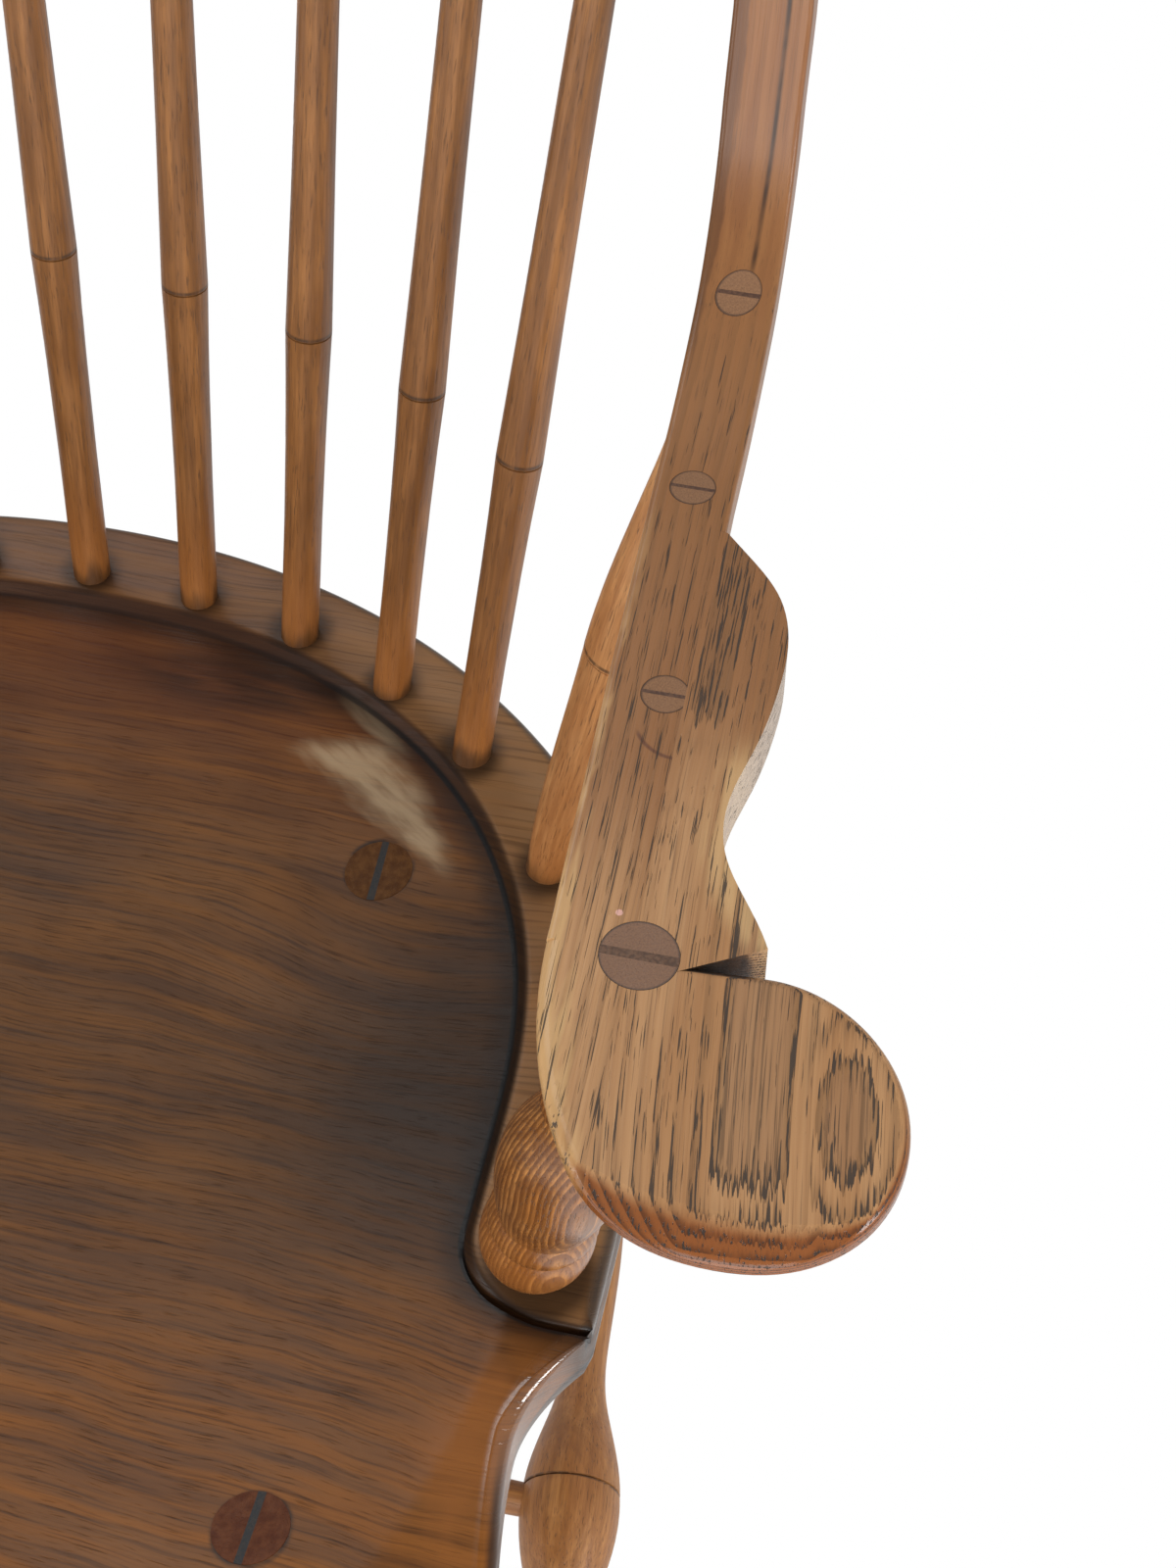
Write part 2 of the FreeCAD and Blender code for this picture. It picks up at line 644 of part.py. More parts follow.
legs = {}
leg_shoulder_fall = seat_thickness + 2.0
for row, top, splay in (("front", front_leg_top, front_leg_splay), ("rear", rear_leg_top, rear_leg_splay)):
    top_z = seat_height - dish_fall(top[0], top[1])
    fall = Vector(splay[0], splay[1], -1.0)
    head = Vector(top[0], top[1], top_z)
    stretch = fall.Length
    axis = Vector(fall).normalize()
    joint = (stretcher_height - top_z) * stretch
    leg = placed(turned(leg_profile(top_z * stretch, joint)), head, axis * -1)
    ground = Part.makeBox(800, 800, 100, Vector(-100, -400, -100))
    leg = leg.cut(ground).cut(dish_space)
    kerf = blade(head, axis * -1, Vector(0, 1, 0), leg_wedge_thickness, leg_wedge_length)
    socket_length = leg_shoulder_fall + trim_overrun
    socket = Part.makeCone(leg_shoulder_radius + fit_gap, leg_tenon_radius + fit_gap, socket_length,
                           head + axis * leg_shoulder_fall, axis * -1)
    legs[row] = {"body": leg, "axis_at": head + fall * (top_z - stretcher_height), "wedge": leg.common(kerf),
                 "kerf": kerf, "socket": socket}

# Side stretchers between the legs, and the medial stretcher between their bulges

front_end = legs["front"]["axis_at"]
rear_end = legs["rear"]["axis_at"]
run = rear_end - front_end
run_direction = Vector(run).normalize()
front_reach = run.Length * side_bulge_share + stretcher_tenon_past_axis
rear_reach = run.Length * (1 - side_bulge_share) + stretcher_tenon_past_axis
side_middle = front_end + run * side_bulge_share
side_stretcher = placed(turned(side_stretcher_profile(front_reach, rear_reach)), side_middle, run_direction)
side_sockets = rod(side_middle - run_direction * front_reach, run_direction, stretcher_tenon_radius + fit_gap,
                   front_reach + rear_reach)
medial_half = side_middle.x - side_bulge_radius + medial_tenon_depth
medial_middle = Vector(0, side_middle.y, side_middle.z)
medial = placed(turned(medial_stretcher_profile(2 * medial_half)), medial_middle, Vector(1, 0, 0), up)
medial_socket = rod(medial_middle, Vector(1, 0, 0), medial_end_radius + fit_gap, medial_half)
side_stretcher = side_stretcher.cut(medial_socket)
pieces["medial_stretcher"] = medial

for name, side in sides:
    pieces["side_stretcher_" + name] = on_side(side_stretcher, side)
    for row in ("front", "rear"):
        leg = legs[row]
        pieces[row + "_leg_" + name] = on_side(leg["body"].cut(leg["kerf"]).cut(side_sockets), side)
        leg_wedges.append(on_side(leg["wedge"], side))
        seat = seat.cut(on_side(leg["socket"], side))

# Arm stumps: a tapered tenon in the deck, and a round one through the arm's glue line

stump_foot = Vector(stump_base[0], stump_base[1], seat_height)
stump_top = Vector(arm_middle_x(stump_pierce[0]) + stump_pierce[1], stump_pierce[0], arm_top)
stump_run = stump_top - stump_foot
stump_axis = Vector(stump_run).normalize()
stump = placed(turned(stump_profile(stump_run.Length)), stump_foot, stump_axis)
above_arm = Part.makeBox(100, 100, 100, Vector(stump_top.x - 50, stump_top.y - 50, arm_top))
stump = stump.cut(above_arm)
stump_kerf = blade(stump_top, stump_axis, Vector(1, 0, 0), stump_wedge_thickness, arm_wedge_length)
stump_socket = Part.makeCone(stump_foot_radius - stump_foot_taper + fit_gap, stump_foot_radius + fit_gap,
                             stump_socket_depth, stump_foot - stump_axis * stump_socket_depth, stump_axis)
stump_bore = rod(stump_top - stump_axis * 2 * bow_thickness, stump_axis, stump_tenon_radius + fit_gap,
                 2 * bow_thickness + trim_overrun)
for name, side in sides:
    pieces["arm_stump_" + name] = on_side(stump.cut(stump_kerf), side)
    stump_wedges.append(on_side(stump.common(stump_kerf), side))
    seat = seat.cut(on_side(stump_socket, side))
    bow = bow.cut(on_side(stump_bore, side))
    blocks[name] = blocks[name].cut(on_side(stump_bore, side))


def pierced_spindle(base, place, outboard, thickness_share, profile, node, foot_radius, tip_radius, blade_across):
    """A spindle from a socket in the deck to a wedged tenon through the bow."""
    depth = bow_thickness * thickness_share
    target = place["point"] + place["outboard"] * outboard - place["normal"] * depth
    axis = Vector(target - base).normalize()
    inside = rod(target - axis * 2 * bow_width, axis, tip_radius, 4 * bow_width).common(bow_stock)
    length = target.distanceToPoint(base)
    inner_end = length - (0.5 - thickness_share) * bow_thickness
    body = placed(turned(profile(inner_end, node * length)), base, axis)
    spindle = body.fuse(inside).removeSplitter()
    exit_point = target
    for vertex in inside.Vertexes:
        along = (vertex.Point - base).dot(axis)
        if along > (exit_point - base).dot(axis):
            exit_point = base + axis * along
    kerf = blade(exit_point, axis, blade_across, arm_wedge_thickness, arm_wedge_length)
    socket = rod(base - axis * spindle_socket_depth, axis, foot_radius + fit_gap, spindle_socket_depth + 2 * trim_overrun)
    bore = rod(target - axis * 2 * bow_width, axis, tip_radius + fit_gap, 4 * bow_width)
    return {"spindle": spindle.cut(kerf), "wedge": spindle.common(kerf), "socket": socket, "bore": bore}


def deck_point(distance):
    """A point of the spindle curve on the deck."""
    x, y, angle = walk_back(spindle_half_width, spindle_back_reach, rim_power, distance)
    return Vector(x, y + seat_middle_y, seat_height)


# Long spindles fan from the deck to even steps along the hoop

hoop_lean = math.radians(back_angle)
hoop_reach = (hoop_crest_height - hoop_spring_height) / math.sin(hoop_lean)
for number in range(half_long_count + 1):
    angle = walk_back(hoop_half_width, hoop_reach, hoop_power, number * hoop_spindle_gap)[2]
    place = hoop_station(angle)
    base = deck_point(number * long_spindle_gap)
    node = (spindle_node_height - number * spindle_node_drop) / (place["point"].z - seat_height)
    made = pierced_spindle(base, place, 0.0, 0.5, long_spindle_profile, node, spindle_foot_radius,
                           spindle_tip_radius, place["normal"])
    for side in ((1.0,) if number == 0 else (1.0, -1.0)):
        index = half_long_count + 1 - number * int(side)
        pieces["long_spindle_" + str(index)] = on_side(made["spindle"], side)
        long_wedges.append(on_side(made["wedge"], side))
        seat = seat.cut(on_side(made["socket"], side))
        bow = bow.cut(on_side(made["bore"], side))

# Short spindles from the deck through the arm, numbered from the back

first_short = half_long_count * long_spindle_gap + first_short_gap
for number, (pierce_y, outboard) in enumerate(short_pierces):
    place = arm_station(pierce_y)
    base = deck_point(first_short + number * short_spindle_gap)
    made = pierced_spindle(base, place, outboard, 0.0, short_spindle_profile, short_belly_share,
                           short_foot_radius, short_tip_radius, Vector(1, 0, 0))
    for name, side in sides:
        pieces["short_spindle_" + name + "_" + str(number + 1)] = on_side(made["spindle"], side)
        short_wedges.append(on_side(made["wedge"], side))
        seat = seat.cut(on_side(made["socket"], side))
        bow = bow.cut(on_side(made["bore"], side))

pieces["seat"] = seat
pieces["bow"] = bow
for name, side in sides:
    pieces["arm_block_" + name] = blocks[name]
pieces["leg_wedges"] = Part.makeCompound(leg_wedges)
pieces["stump_wedges"] = Part.makeCompound(stump_wedges)
pieces["short_spindle_wedges"] = Part.makeCompound(short_wedges)
pieces["long_spindle_wedges"] = Part.makeCompound(long_wedges)

for name, shape in sorted(pieces.items()):
    solids = shape.Solids
    print(name, len(solids), shape.isValid(), round(shape.Volume / 1000.0, 2), "cm3")
    kept = solids[0] if len(solids) == 1 else Part.makeCompound(solids)
    kept.exportStep("parts/" + name + ".step")
box = Part.makeCompound(list(pieces.values())).BoundBox
print("box", [round(v, 1) for v in (box.XMin, box.XMax, box.YMin, box.YMax, box.ZMin, box.ZMax)])
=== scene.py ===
import bpy
import math
from mathutils import Matrix, Vector
from mathutils.kdtree import KDTree


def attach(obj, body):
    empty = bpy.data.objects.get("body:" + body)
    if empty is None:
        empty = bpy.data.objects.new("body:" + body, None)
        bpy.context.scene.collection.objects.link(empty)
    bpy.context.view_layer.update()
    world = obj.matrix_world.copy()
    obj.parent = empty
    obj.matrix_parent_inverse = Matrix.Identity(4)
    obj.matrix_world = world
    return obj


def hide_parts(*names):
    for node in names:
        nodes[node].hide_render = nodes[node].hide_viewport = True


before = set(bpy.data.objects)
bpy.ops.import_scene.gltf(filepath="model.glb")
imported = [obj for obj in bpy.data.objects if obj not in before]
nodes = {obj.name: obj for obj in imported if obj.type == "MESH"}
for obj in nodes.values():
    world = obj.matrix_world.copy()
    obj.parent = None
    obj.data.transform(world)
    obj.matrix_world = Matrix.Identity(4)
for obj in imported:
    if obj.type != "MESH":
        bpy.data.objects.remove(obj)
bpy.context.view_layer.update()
bpy.ops.object.select_all(action="DESELECT")

# The seat: one plank, dished for the sitter by hand, with a gutter cut round the dish. Its mesh
# runs in spokes from the sitting place over the dish, up the gutter's sloped wall, over the
# deck and the rounded rim, and down the side to the underside.

# Sizes are in millimetres: x and y from the plank's own middle, heights from the deck
mm = 0.001
seat_height, seat_thickness, seat_edge_height = 440.0, 46.0, 20.0
seat_middle_y = -35.7
seat_half_width, seat_back_reach, seat_front_reach = 251.8, 223.2, 209.8
rim_power = 2.07
undercut_inset = 34.0
deck_round, front_round = 5.0, 6.0
ear_round, ear_round_growth, corner_round, corner_round_growth = 2.5, 0.3, 0.5, 0.35
ear_reach, scoop_depth, scoop_run, scoop_power = 71.0, 16.0, 36.0, 1.8
front_flare, flare_power, front_corner, front_crown = 8.0, 1.6, 46.0, 5.0
gutter_half_width, gutter_back_reach, gutter_power = 204.0, 184.4, 2.3
gutter_side_run, gutter_ear_width = 40.0, 35.0
gutter_depth, gutter_slope_width = 4.5, 4.0
dish_depth, dish_power, dish_front_reach, dish_slack = 19.0, 3, 262.0, 0.2
front_roll_width, front_roll_drop = 30.0, 11.0
# How far the curves of the dish and of the rolled front run on past their own edges
dish_overrun, front_roll_overrun = 1.12, 1.6
pommel_height, pommel_width, pommel_run = 5.0, 48.0, 75.0
spoke_centre = Vector((0.0, -90.0))
back_spokes, front_spokes = 230, 150
dish_rows, deck_rows, rim_rows = 56, 9, 6
side_rows, undercut_rows, bottom_rows = 3, 5, 8
dish_row_power = 1.5


def superellipse(half_width, reach, power, angle):
    """A point of a rounded outline; the angle runs from +X (0) to +Y (90)."""
    across, along = math.cos(math.radians(angle)), math.sin(math.radians(angle))
    x = math.copysign(abs(across) ** (2 / power), across) * half_width
    return Vector((x, math.copysign(abs(along) ** (2 / power), along) * reach))


def evenly(points, count):
    """Points at equal steps along a path."""
    lengths = [0.0]
    for first, last in zip(points, points[1:]):
        lengths.append(lengths[-1] + (last - first).length)
    found, leg = [], 0
    for step in range(count):
        target = lengths[-1] * step / (count - 1)
        while leg < len(points) - 2 and lengths[leg + 1] < target:
            leg += 1
        share = (target - lengths[leg]) / max(lengths[leg + 1] - lengths[leg], 1e-9)
        found.append(points[leg].lerp(points[leg + 1], share))
    return found


def sideways(points):
    """The unit normals of a path, on its left as it runs."""
    normals = []
    for index in range(len(points)):
        step = points[min(index + 1, len(points) - 1)] - points[max(index - 1, 0)]
        normals.append(Vector((-step.y, step.x)).normalized())
    return normals


def dish_fall(x, y):
    """How far the sitting surface lies below the deck."""
    reach = gutter_back_reach if y > 0 else dish_front_reach
    rise = (abs(x) / gutter_half_width) ** gutter_power + (abs(y) / reach) ** gutter_power
    share = min(rise ** (1 / gutter_power), dish_overrun)
    fall = gutter_depth + (dish_depth - gutter_depth) * (1 - share ** dish_power)
    from_front = y + seat_front_reach
    rolled = min(max(0.0, 1 - from_front / front_roll_width), front_roll_overrun)
    ridge = math.exp(-(x / pommel_width) ** 2 - (from_front / pommel_run) ** 2)
    return fall + front_roll_drop * rolled ** 2 - pommel_height * ridge


# The gutter and the plank's outline on the left half, both from the middle of the back
quarter = [90 - 0.75 * step for step in range(121)]
gutter_path = [superellipse(gutter_half_width, gutter_back_reach, gutter_power, angle)
               for angle in quarter]
for step in range(31):
    turn = math.radians(180 + 3 * step)
    x = gutter_half_width + gutter_ear_width * (1 + math.cos(turn))
    gutter_path.append(Vector((x, -gutter_side_run + (ear_reach - gutter_side_run) * math.sin(turn))))
gutter_path.append(Vector((seat_half_width, -ear_reach)))
gutter_line = evenly(gutter_path, back_spokes)
back_path = [superellipse(seat_half_width, seat_back_reach, rim_power, angle) for angle in quarter]
back_path.append(Vector((seat_half_width, gutter_slope_width - ear_reach)))
back_line = evenly(back_path, back_spokes)

# The flank on the left, from the ear: the scoop, a straight run, the corner and the front
waist = seat_half_width - scoop_depth
scoop_end = -ear_reach - scoop_run
corner_start = -seat_front_reach + front_corner
corner_x = waist + front_flare - front_corner
flank_path = [Vector((seat_half_width, -ear_reach))]
for step in range(1, 25):
    share = step / 24
    bite = 1 - (1 - share) ** scoop_power
    flank_path.append(Vector((seat_half_width - scoop_depth * bite, -ear_reach - scoop_run * share)))
straight = corner_start + ear_reach + scoop_run
for step in range(1, 13):
    share = step / 12
    flank_path.append(Vector((waist + front_flare * share ** flare_power, scoop_end + straight * share)))
corner_fall = front_corner - front_crown
for step in range(1, 31):
    turn = math.radians(3 * step)
    x = corner_x + front_corner * math.cos(turn)
    flank_path.append(Vector((x, corner_start - corner_fall * math.sin(turn))))
for step in range(1, 21):
    share = 1 - step / 20
    flank_path.append(Vector((corner_x * share, -seat_front_reach + front_crown * share ** 2)))
flank_line = evenly(flank_path, front_spokes)

# These find the outline's and the gutter's nearest point
outline_tree = KDTree(back_spokes + front_spokes)
for index, point in enumerate(back_line + flank_line):
    outline_tree.insert((point.x, point.y, 0), index)
outline_tree.balance()
gutter_tree = KDTree(back_spokes)
for index, point in enumerate(gutter_line):
    gutter_tree.insert((point.x, point.y, 0), index)
gutter_tree.balance()

# Each spoke's way from the gutter's or the rolled front's edge to the outline. The gutter's
# wall is given as distances from its foot and shares of its height.
wall_profile = ((0.7, 0.06), (1.6, 0.3), (2.7, 0.68), (3.6, 0.9), (4.6, 0.98), (5.6, 1.0))
wall_share_limit, rim_share_limit = 0.9, 0.6
strip_rows = len(wall_profile) + deck_rows + rim_rows
spokes = []
gutter_out, back_out, flank_out = sideways(gutter_line), sideways(back_line), sideways(flank_line)
for index in range(back_spokes):
    edge, outline = gutter_line[index], back_line[index]
    outward = gutter_out[index]
    rim = min(deck_round, ear_round + (back_spokes - 1 - index) * ear_round_growth)
    plan = []
    for offset, rise in wall_profile:
        offset = min(offset, (outline - edge).length * wall_share_limit)
        plan.append((edge + outward * offset, -gutter_depth * (1 - rise)))
    wall_top = plan[-1][0]
    inner = outline - back_out[index] * min(rim, (outline - wall_top).length * rim_share_limit)
    plan += [(wall_top.lerp(inner, row / deck_rows), 0.0) for row in range(1, deck_rows + 1)]
    for row in range(1, rim_rows + 1):
        turn = math.radians(90 * row / rim_rows)
        share = math.sin(turn)
        plan.append((inner.lerp(outline, share), -rim * (1 - math.cos(turn))))
    spokes.append({"edge": edge, "plan": plan, "outline": outline})
for index in range(1, front_spokes):
    outline = flank_line[index]
    rim = min(front_round, corner_round + index * corner_round_growth)
    edge = outline - flank_out[index] * rim
    base = -dish_fall(edge.x, edge.y)
    plan = []
    for row in range(1, strip_rows + 1):
        turn = math.radians(90 * row / strip_rows)
        plan.append((edge.lerp(outline, math.sin(turn)), base - rim * (1 - math.cos(turn))))
    spokes.append({"edge": edge, "plan": plan, "outline": outline})

columns = []
row_count = dish_rows + strip_rows + side_rows + undercut_rows + bottom_rows
for spoke in spokes:
    edge, outline = spoke["edge"], spoke["outline"]
    column = []
    for row in range(dish_rows):
        share = 1 - ((dish_rows - row) / (dish_rows + 0.5)) ** dish_row_power
        point = spoke_centre.lerp(edge, share)
        column.append((point.x, point.y, -dish_fall(point.x, point.y) - dish_slack))
    column[-1] = (edge.x, edge.y, -dish_fall(edge.x, edge.y) - dish_slack)
    column += [(point.x, point.y, height) for point, height in spoke["plan"]]
    top = column[-1][2]
    for row in range(1, side_rows + 1):
        column.append((outline.x, outline.y, top + (-seat_edge_height - top) * row / side_rows))
    far = outline * (1 - undercut_inset / outline.length)
    for row in range(1, undercut_rows + 1):
        share = row / undercut_rows
        point = outline.lerp(far, share)
        height = -seat_edge_height - (seat_thickness - seat_edge_height) * share
        column.append((point.x, point.y, height))
    for row in range(1, bottom_rows + 1):
        point = far.lerp(spoke_centre, row / (bottom_rows + 0.5))
        column.append((point.x, point.y, -seat_thickness))
    columns.append(column)

# The right half mirrors the left, so the spokes close into a ring
ring = columns + [[(-x, y, z) for x, y, z in column] for column in reversed(columns[1:-1])]
flat = [(x * mm, (y + seat_middle_y) * mm, (z + seat_height) * mm)
        for column in ring for x, y, z in column]
faces = []
for index in range(len(ring)):
    this, following = index * row_count, ((index + 1) % len(ring)) * row_count
    for row in range(row_count - 1):
        faces.append((this + row, this + row + 1, following + row + 1, following + row))
# Two hubs close the spokes, in the dish and under the plank
dish_hub = -dish_fall(spoke_centre.x, spoke_centre.y) - dish_slack
for row, height in ((0, dish_hub), (row_count - 1, -seat_thickness)):
    hub = len(flat)
    flat.append((spoke_centre.x * mm, (spoke_centre.y + seat_middle_y) * mm, (height + seat_height) * mm))
    for index in range(len(ring)):
        this = index * row_count + row
        following = ((index + 1) % len(ring)) * row_count + row
        faces.append((hub, this, following) if row == 0 else (hub, following, this))
seat_mesh = bpy.data.meshes.new("seat plank")
seat_mesh.from_pydata(flat, [], faces)
seat = bpy.data.objects.new("seat_plank", seat_mesh)
bpy.context.collection.objects.link(seat)
bpy.context.view_layer.objects.active = seat
seat.select_set(True)
bpy.ops.object.mode_set(mode="EDIT")
bpy.ops.mesh.select_all(action="SELECT")
bpy.ops.mesh.remove_doubles(threshold=0.00002)
bpy.ops.mesh.normals_make_consistent(inside=False)
bpy.ops.object.mode_set(mode="OBJECT")
bpy.ops.object.shade_smooth_by_angle(angle=math.radians(35))
bpy.ops.object.select_all(action="DESELECT")


def middle_of(points):
    """The middle of the box round some points."""
    return Vector([(min(p[i] for p in points) + max(p[i] for p in points)) / 2 for i in range(3)])


def ends_of(piece, ring=None):
    """The middles of a turned piece's two ends in millimetres, the lower or left one first.

    A ring is the height of a scribed ring above the deck. It gives the axis of a piece whose
    tip is cut at a slant.
    """
    face_slack, foot_slack, ring_slack = 0.6, 0.4, 0.8
    points = [vertex.co / mm for vertex in piece.data.vertices]
    spans = [max(p[i] for p in points) - min(p[i] for p in points) for i in range(3)]
    main = spans.index(max(spans))
    points.sort(key=lambda p: p[main])
    low = middle_of([p for p in points if p[main] < points[0][main] + face_slack])
    high = middle_of([p for p in points if p[main] > points[-1][main] - face_slack])
    if ring is None:
        return [low, high]
    for _ in range(3):
        axis = (high - low).normalized()
        along = [(p - low).dot(axis) for p in points]
        first, last = min(along), max(along)
        ring_at = (seat_height + ring - low.z) / axis.z
        low = middle_of([p for p, a in zip(points, along) if a < first + foot_slack])
        groove = min(along, key=lambda a: abs(a - ring_at))
        scribe = middle_of([p for p, a in zip(points, along) if abs(a - groove) < ring_slack])
        high = low + (scribe - low).normalized() * (last - first)
    return [low, high]


# Where the feet of spindles and stumps stand on the deck, with their radii. The scribed rings
# of the long spindles step down from the middle one to the sides.
middle_ring_height, ring_step, middle_spindle = 142.0, 4.0, 5
short_belly_share, short_ring_share = 0.46, 0.92
turned_kinds = ("long", "short", "front", "rear", "side", "medial", "arm")
turned_ends, rings = {}, {}
for name, piece in nodes.items():
    kind = name.split("_")[0]
    if kind not in turned_kinds or "wedges" in name or "block" in name:
        continue
    if kind == "long":
        rings[name] = middle_ring_height - ring_step * abs(int(name.split("_")[-1]) - middle_spindle)
    if kind == "short":
        highest = max(vertex.co.z for vertex in piece.data.vertices) / mm
        rings[name] = short_ring_share * short_belly_share * (highest - seat_height)
    turned_ends[name] = ends_of(piece, rings.get(name))
foot_radii = {"long": 6.9, "short": 7.8, "arm": 12.9}
seat_feet = []
for name, (low, high) in turned_ends.items():
    kind = name.split("_")[0]
    if kind in foot_radii:
        share = (seat_height - low.z) / (high.z - low.z)
        spot = low.lerp(high, share)
        seat_feet.append((spot.x, spot.y - seat_middle_y, foot_radii[kind]))

# Each vertex knows its distance to the gutter, to the rim and to the nearest foot, for the dirt and the
# painted shade
far_from_feet = 90.0
distances = {"gutter": [], "rim": [], "foot": []}
for vertex in seat_mesh.vertices:
    x, y, z = vertex.co.x / mm, vertex.co.y / mm - seat_middle_y, vertex.co.z / mm - seat_height
    _, number, away = gutter_tree.find((abs(x), y, 0))
    beyond = (Vector((abs(x), y)) - gutter_line[number]).dot(gutter_out[number]) > 0.01
    on_deck = z > -gutter_depth - 0.5 and beyond
    underneath = z < -seat_edge_height + 1 and z < -dish_fall(x, y) - 3
    distances["gutter"].append(away if on_deck or underneath else -away)
    distances["rim"].append(outline_tree.find((abs(x), y, 0))[2])
    nearest = min(math.hypot(x - fx, y - fy) - radius for fx, fy, radius in seat_feet)
    distances["foot"].append(nearest if z > -2 else far_from_feet)
for name, values in distances.items():
    seat_mesh.attributes.new(name, "FLOAT", "POINT").data.foreach_set("value", values)

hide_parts("seat")
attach(seat, "root")


# The seat's finish: dark stained and oiled, which deepens the plank's grain from side to side.
# Dirt is dark round the feet, painted shade darkens the gutter, the rim's rounding and the scoops'
# sides, and the arm's shadow is painted beside the gutter on the sitter's left. The front corners
# are rubbed back to orange-brown, and one patch by the back is worn pale. The rubbed edges are
# the glossiest.


def paint(hexcode):
    """A linear colour from an sRGB hex code."""
    channels = [int(hexcode[i:i + 2], 16) / 255 for i in (1, 3, 5)]
    return [c / 12.92 if c <= 0.04045 else ((c + 0.055) / 1.055) ** 2.4 for c in channels] + [1.0]


def add(tree, kind, inputs, **settings):
    """Adds a shader node, sets or links its inputs, and returns its outputs.

    An input goes by its name, or by its number where several share a name.
    """
    node = tree.nodes.new("ShaderNode" + kind)
    for name, value in settings.items():
        setattr(node, name, value)
    for name, value in inputs.items():
        if isinstance(value, bpy.types.NodeSocket):
            tree.links.new(value, node.inputs[name])
        else:
            node.inputs[name].default_value = value
    return node.outputs


def material(name):
    """A new material with nothing in it but its output."""
    made = bpy.data.materials.new(name)
    made.use_nodes = True
    made.node_tree.nodes.clear()
    made.node_tree.nodes.new("ShaderNodeOutputMaterial")
    return made


def streaks(tree, grain, often, low, high, seed):
    """0 to 1 in a pattern that changes so often per millimetre in each direction of the grain.

    Often is across the grain, along it and into the wood: 0.75 and 0.02 draw a streak every
    1.3 mm, about 50 mm long. Low and high are the noise's own values that become 0 and 1.
    """
    place = add(tree, "VectorMath", {0: grain, 1: often}, operation="MULTIPLY")[0]
    noise = add(tree, "TexNoise", {"Vector": place, "W": seed, "Scale": 1.0}, noise_dimensions="4D")[0]
    return add(tree, "MapRange", {"Value": noise, "From Min": low, "From Max": high},
               interpolation_type="SMOOTHSTEP")[0]


def summed(tree, start, *terms):
    """A start plus some values, each times its weight."""
    for value, weight in terms:
        start = add(tree, "Math", {0: value, 1: weight, 2: start}, operation="MULTIPLY_ADD")[0]
    return start


def where(tree, *limits):
    """The product of masks. A limit (value, none, full) is one that rises smoothly from 0 where
    the value is at none to 1 where it is at full."""
    product = 1.0
    for limit in limits:
        if isinstance(limit, tuple):
            value, none, full = limit
            limit = add(tree, "MapRange", {"Value": value, "From Min": none, "From Max": full},
                        interpolation_type="SMOOTHSTEP")[0]
        product = add(tree, "Math", {0: limit, 1: product}, operation="MULTIPLY")[0]
    return product


def line_at(tree, value, middle, half_width, soft):
    """A mask that is 1 within half a width of a value, with soft edges."""
    off = add(tree, "Math", {0: value, 1: middle}, operation="SUBTRACT")[0]
    away = add(tree, "Math", {0: off}, operation="ABSOLUTE")[0]
    return where(tree, (away, half_width + soft, half_width - soft))


def ring_of(tree, place, centre, reach):
    """How far a place is from an ellipsoid's middle, 1 on its surface."""
    off = add(tree, "VectorMath", {0: place, 1: centre}, operation="SUBTRACT")[0]
    scaled = add(tree, "VectorMath", {0: off, 1: [1 / r for r in reach]}, operation="MULTIPLY")[0]
    return add(tree, "VectorMath", {0: scaled}, operation="LENGTH")["Value"]


def coat(tree, under, mask, strength, hexcode):
    """Lays a colour over another where a mask is high."""
    share = add(tree, "Math", {0: mask, 1: strength}, operation="MULTIPLY")[0]
    return add(tree, "Mix", {0: share, 6: under, 7: paint(hexcode)}, data_type="RGBA")[2]


def here(tree):
    """The place on the chair in millimetres, and its three coordinates."""
    found = add(tree, "TexCoord", {})["Object"]
    place = add(tree, "VectorMath", {0: found, "Scale": 1 / mm}, operation="SCALE")[0]
    x, y, z = add(tree, "SeparateXYZ", {0: place})
    return place, x, y, z


def varnish(made, colour, roughness, height, relief, shine):
    """Closes a material: height times relief in millimetres is the surface's own grain."""
    tree = made.node_tree
    normal = add(tree, "Bump", {"Height": height, "Distance": relief * mm})[0]
    surface = add(tree, "BsdfPrincipled", {"Base Color": colour, "Roughness": roughness,
                                           "Normal": normal, "Specular IOR Level": shine})[0]
    tree.links.new(surface, tree.nodes["Material Output"].inputs["Surface"])


made = material("dark stained and oiled plank")
tree = made.node_tree
place, x, y, z = here(tree)
# The grain runs from side to side. It sags a little, and bows round the sitter's left.
sag = streaks(tree, place, (0.012, 0.012, 0.0), 0.2, 0.8, 8.0)
side_arc = ring_of(tree, place, (150.0, 10.0, 430.0), (90.0, 60.0, 400.0))
side_arc = where(tree, (side_arc, 1.0, 0.0))
bowed = summed(tree, y, (z, 1.0), (sag, 5.0), (side_arc, 13.0))
grain = add(tree, "CombineXYZ", {0: bowed, 1: x, 2: 0.0})[0]
broad = streaks(tree, grain, (0.045, 0.006, 0.0), 0.32, 0.68, 1.0)
mid = streaks(tree, grain, (0.17, 0.012, 0.0), 0.40, 0.66, 2.0)
lines = streaks(tree, grain, (0.75, 0.020, 0.0), 0.46, 0.70, 3.0)
pores = streaks(tree, grain, (1.5, 0.08, 0.0), 0.56, 0.72, 4.0)
blotch = streaks(tree, place, (0.022, 0.022, 0.022), 0.35, 0.65, 5.0)
gutter = add(tree, "Attribute", {}, attribute_name="gutter")["Fac"]
rim = add(tree, "Attribute", {}, attribute_name="rim")["Fac"]
foot = add(tree, "Attribute", {}, attribute_name="foot")["Fac"]
colour = add(tree, "Mix", {0: broad, 6: paint("#4A2D13"), 7: paint("#65411E")}, data_type="RGBA")[2]
colour = coat(tree, colour, mid, 0.50, "#7C4F22")
colour = coat(tree, colour, blotch, 0.35, "#3A2312")
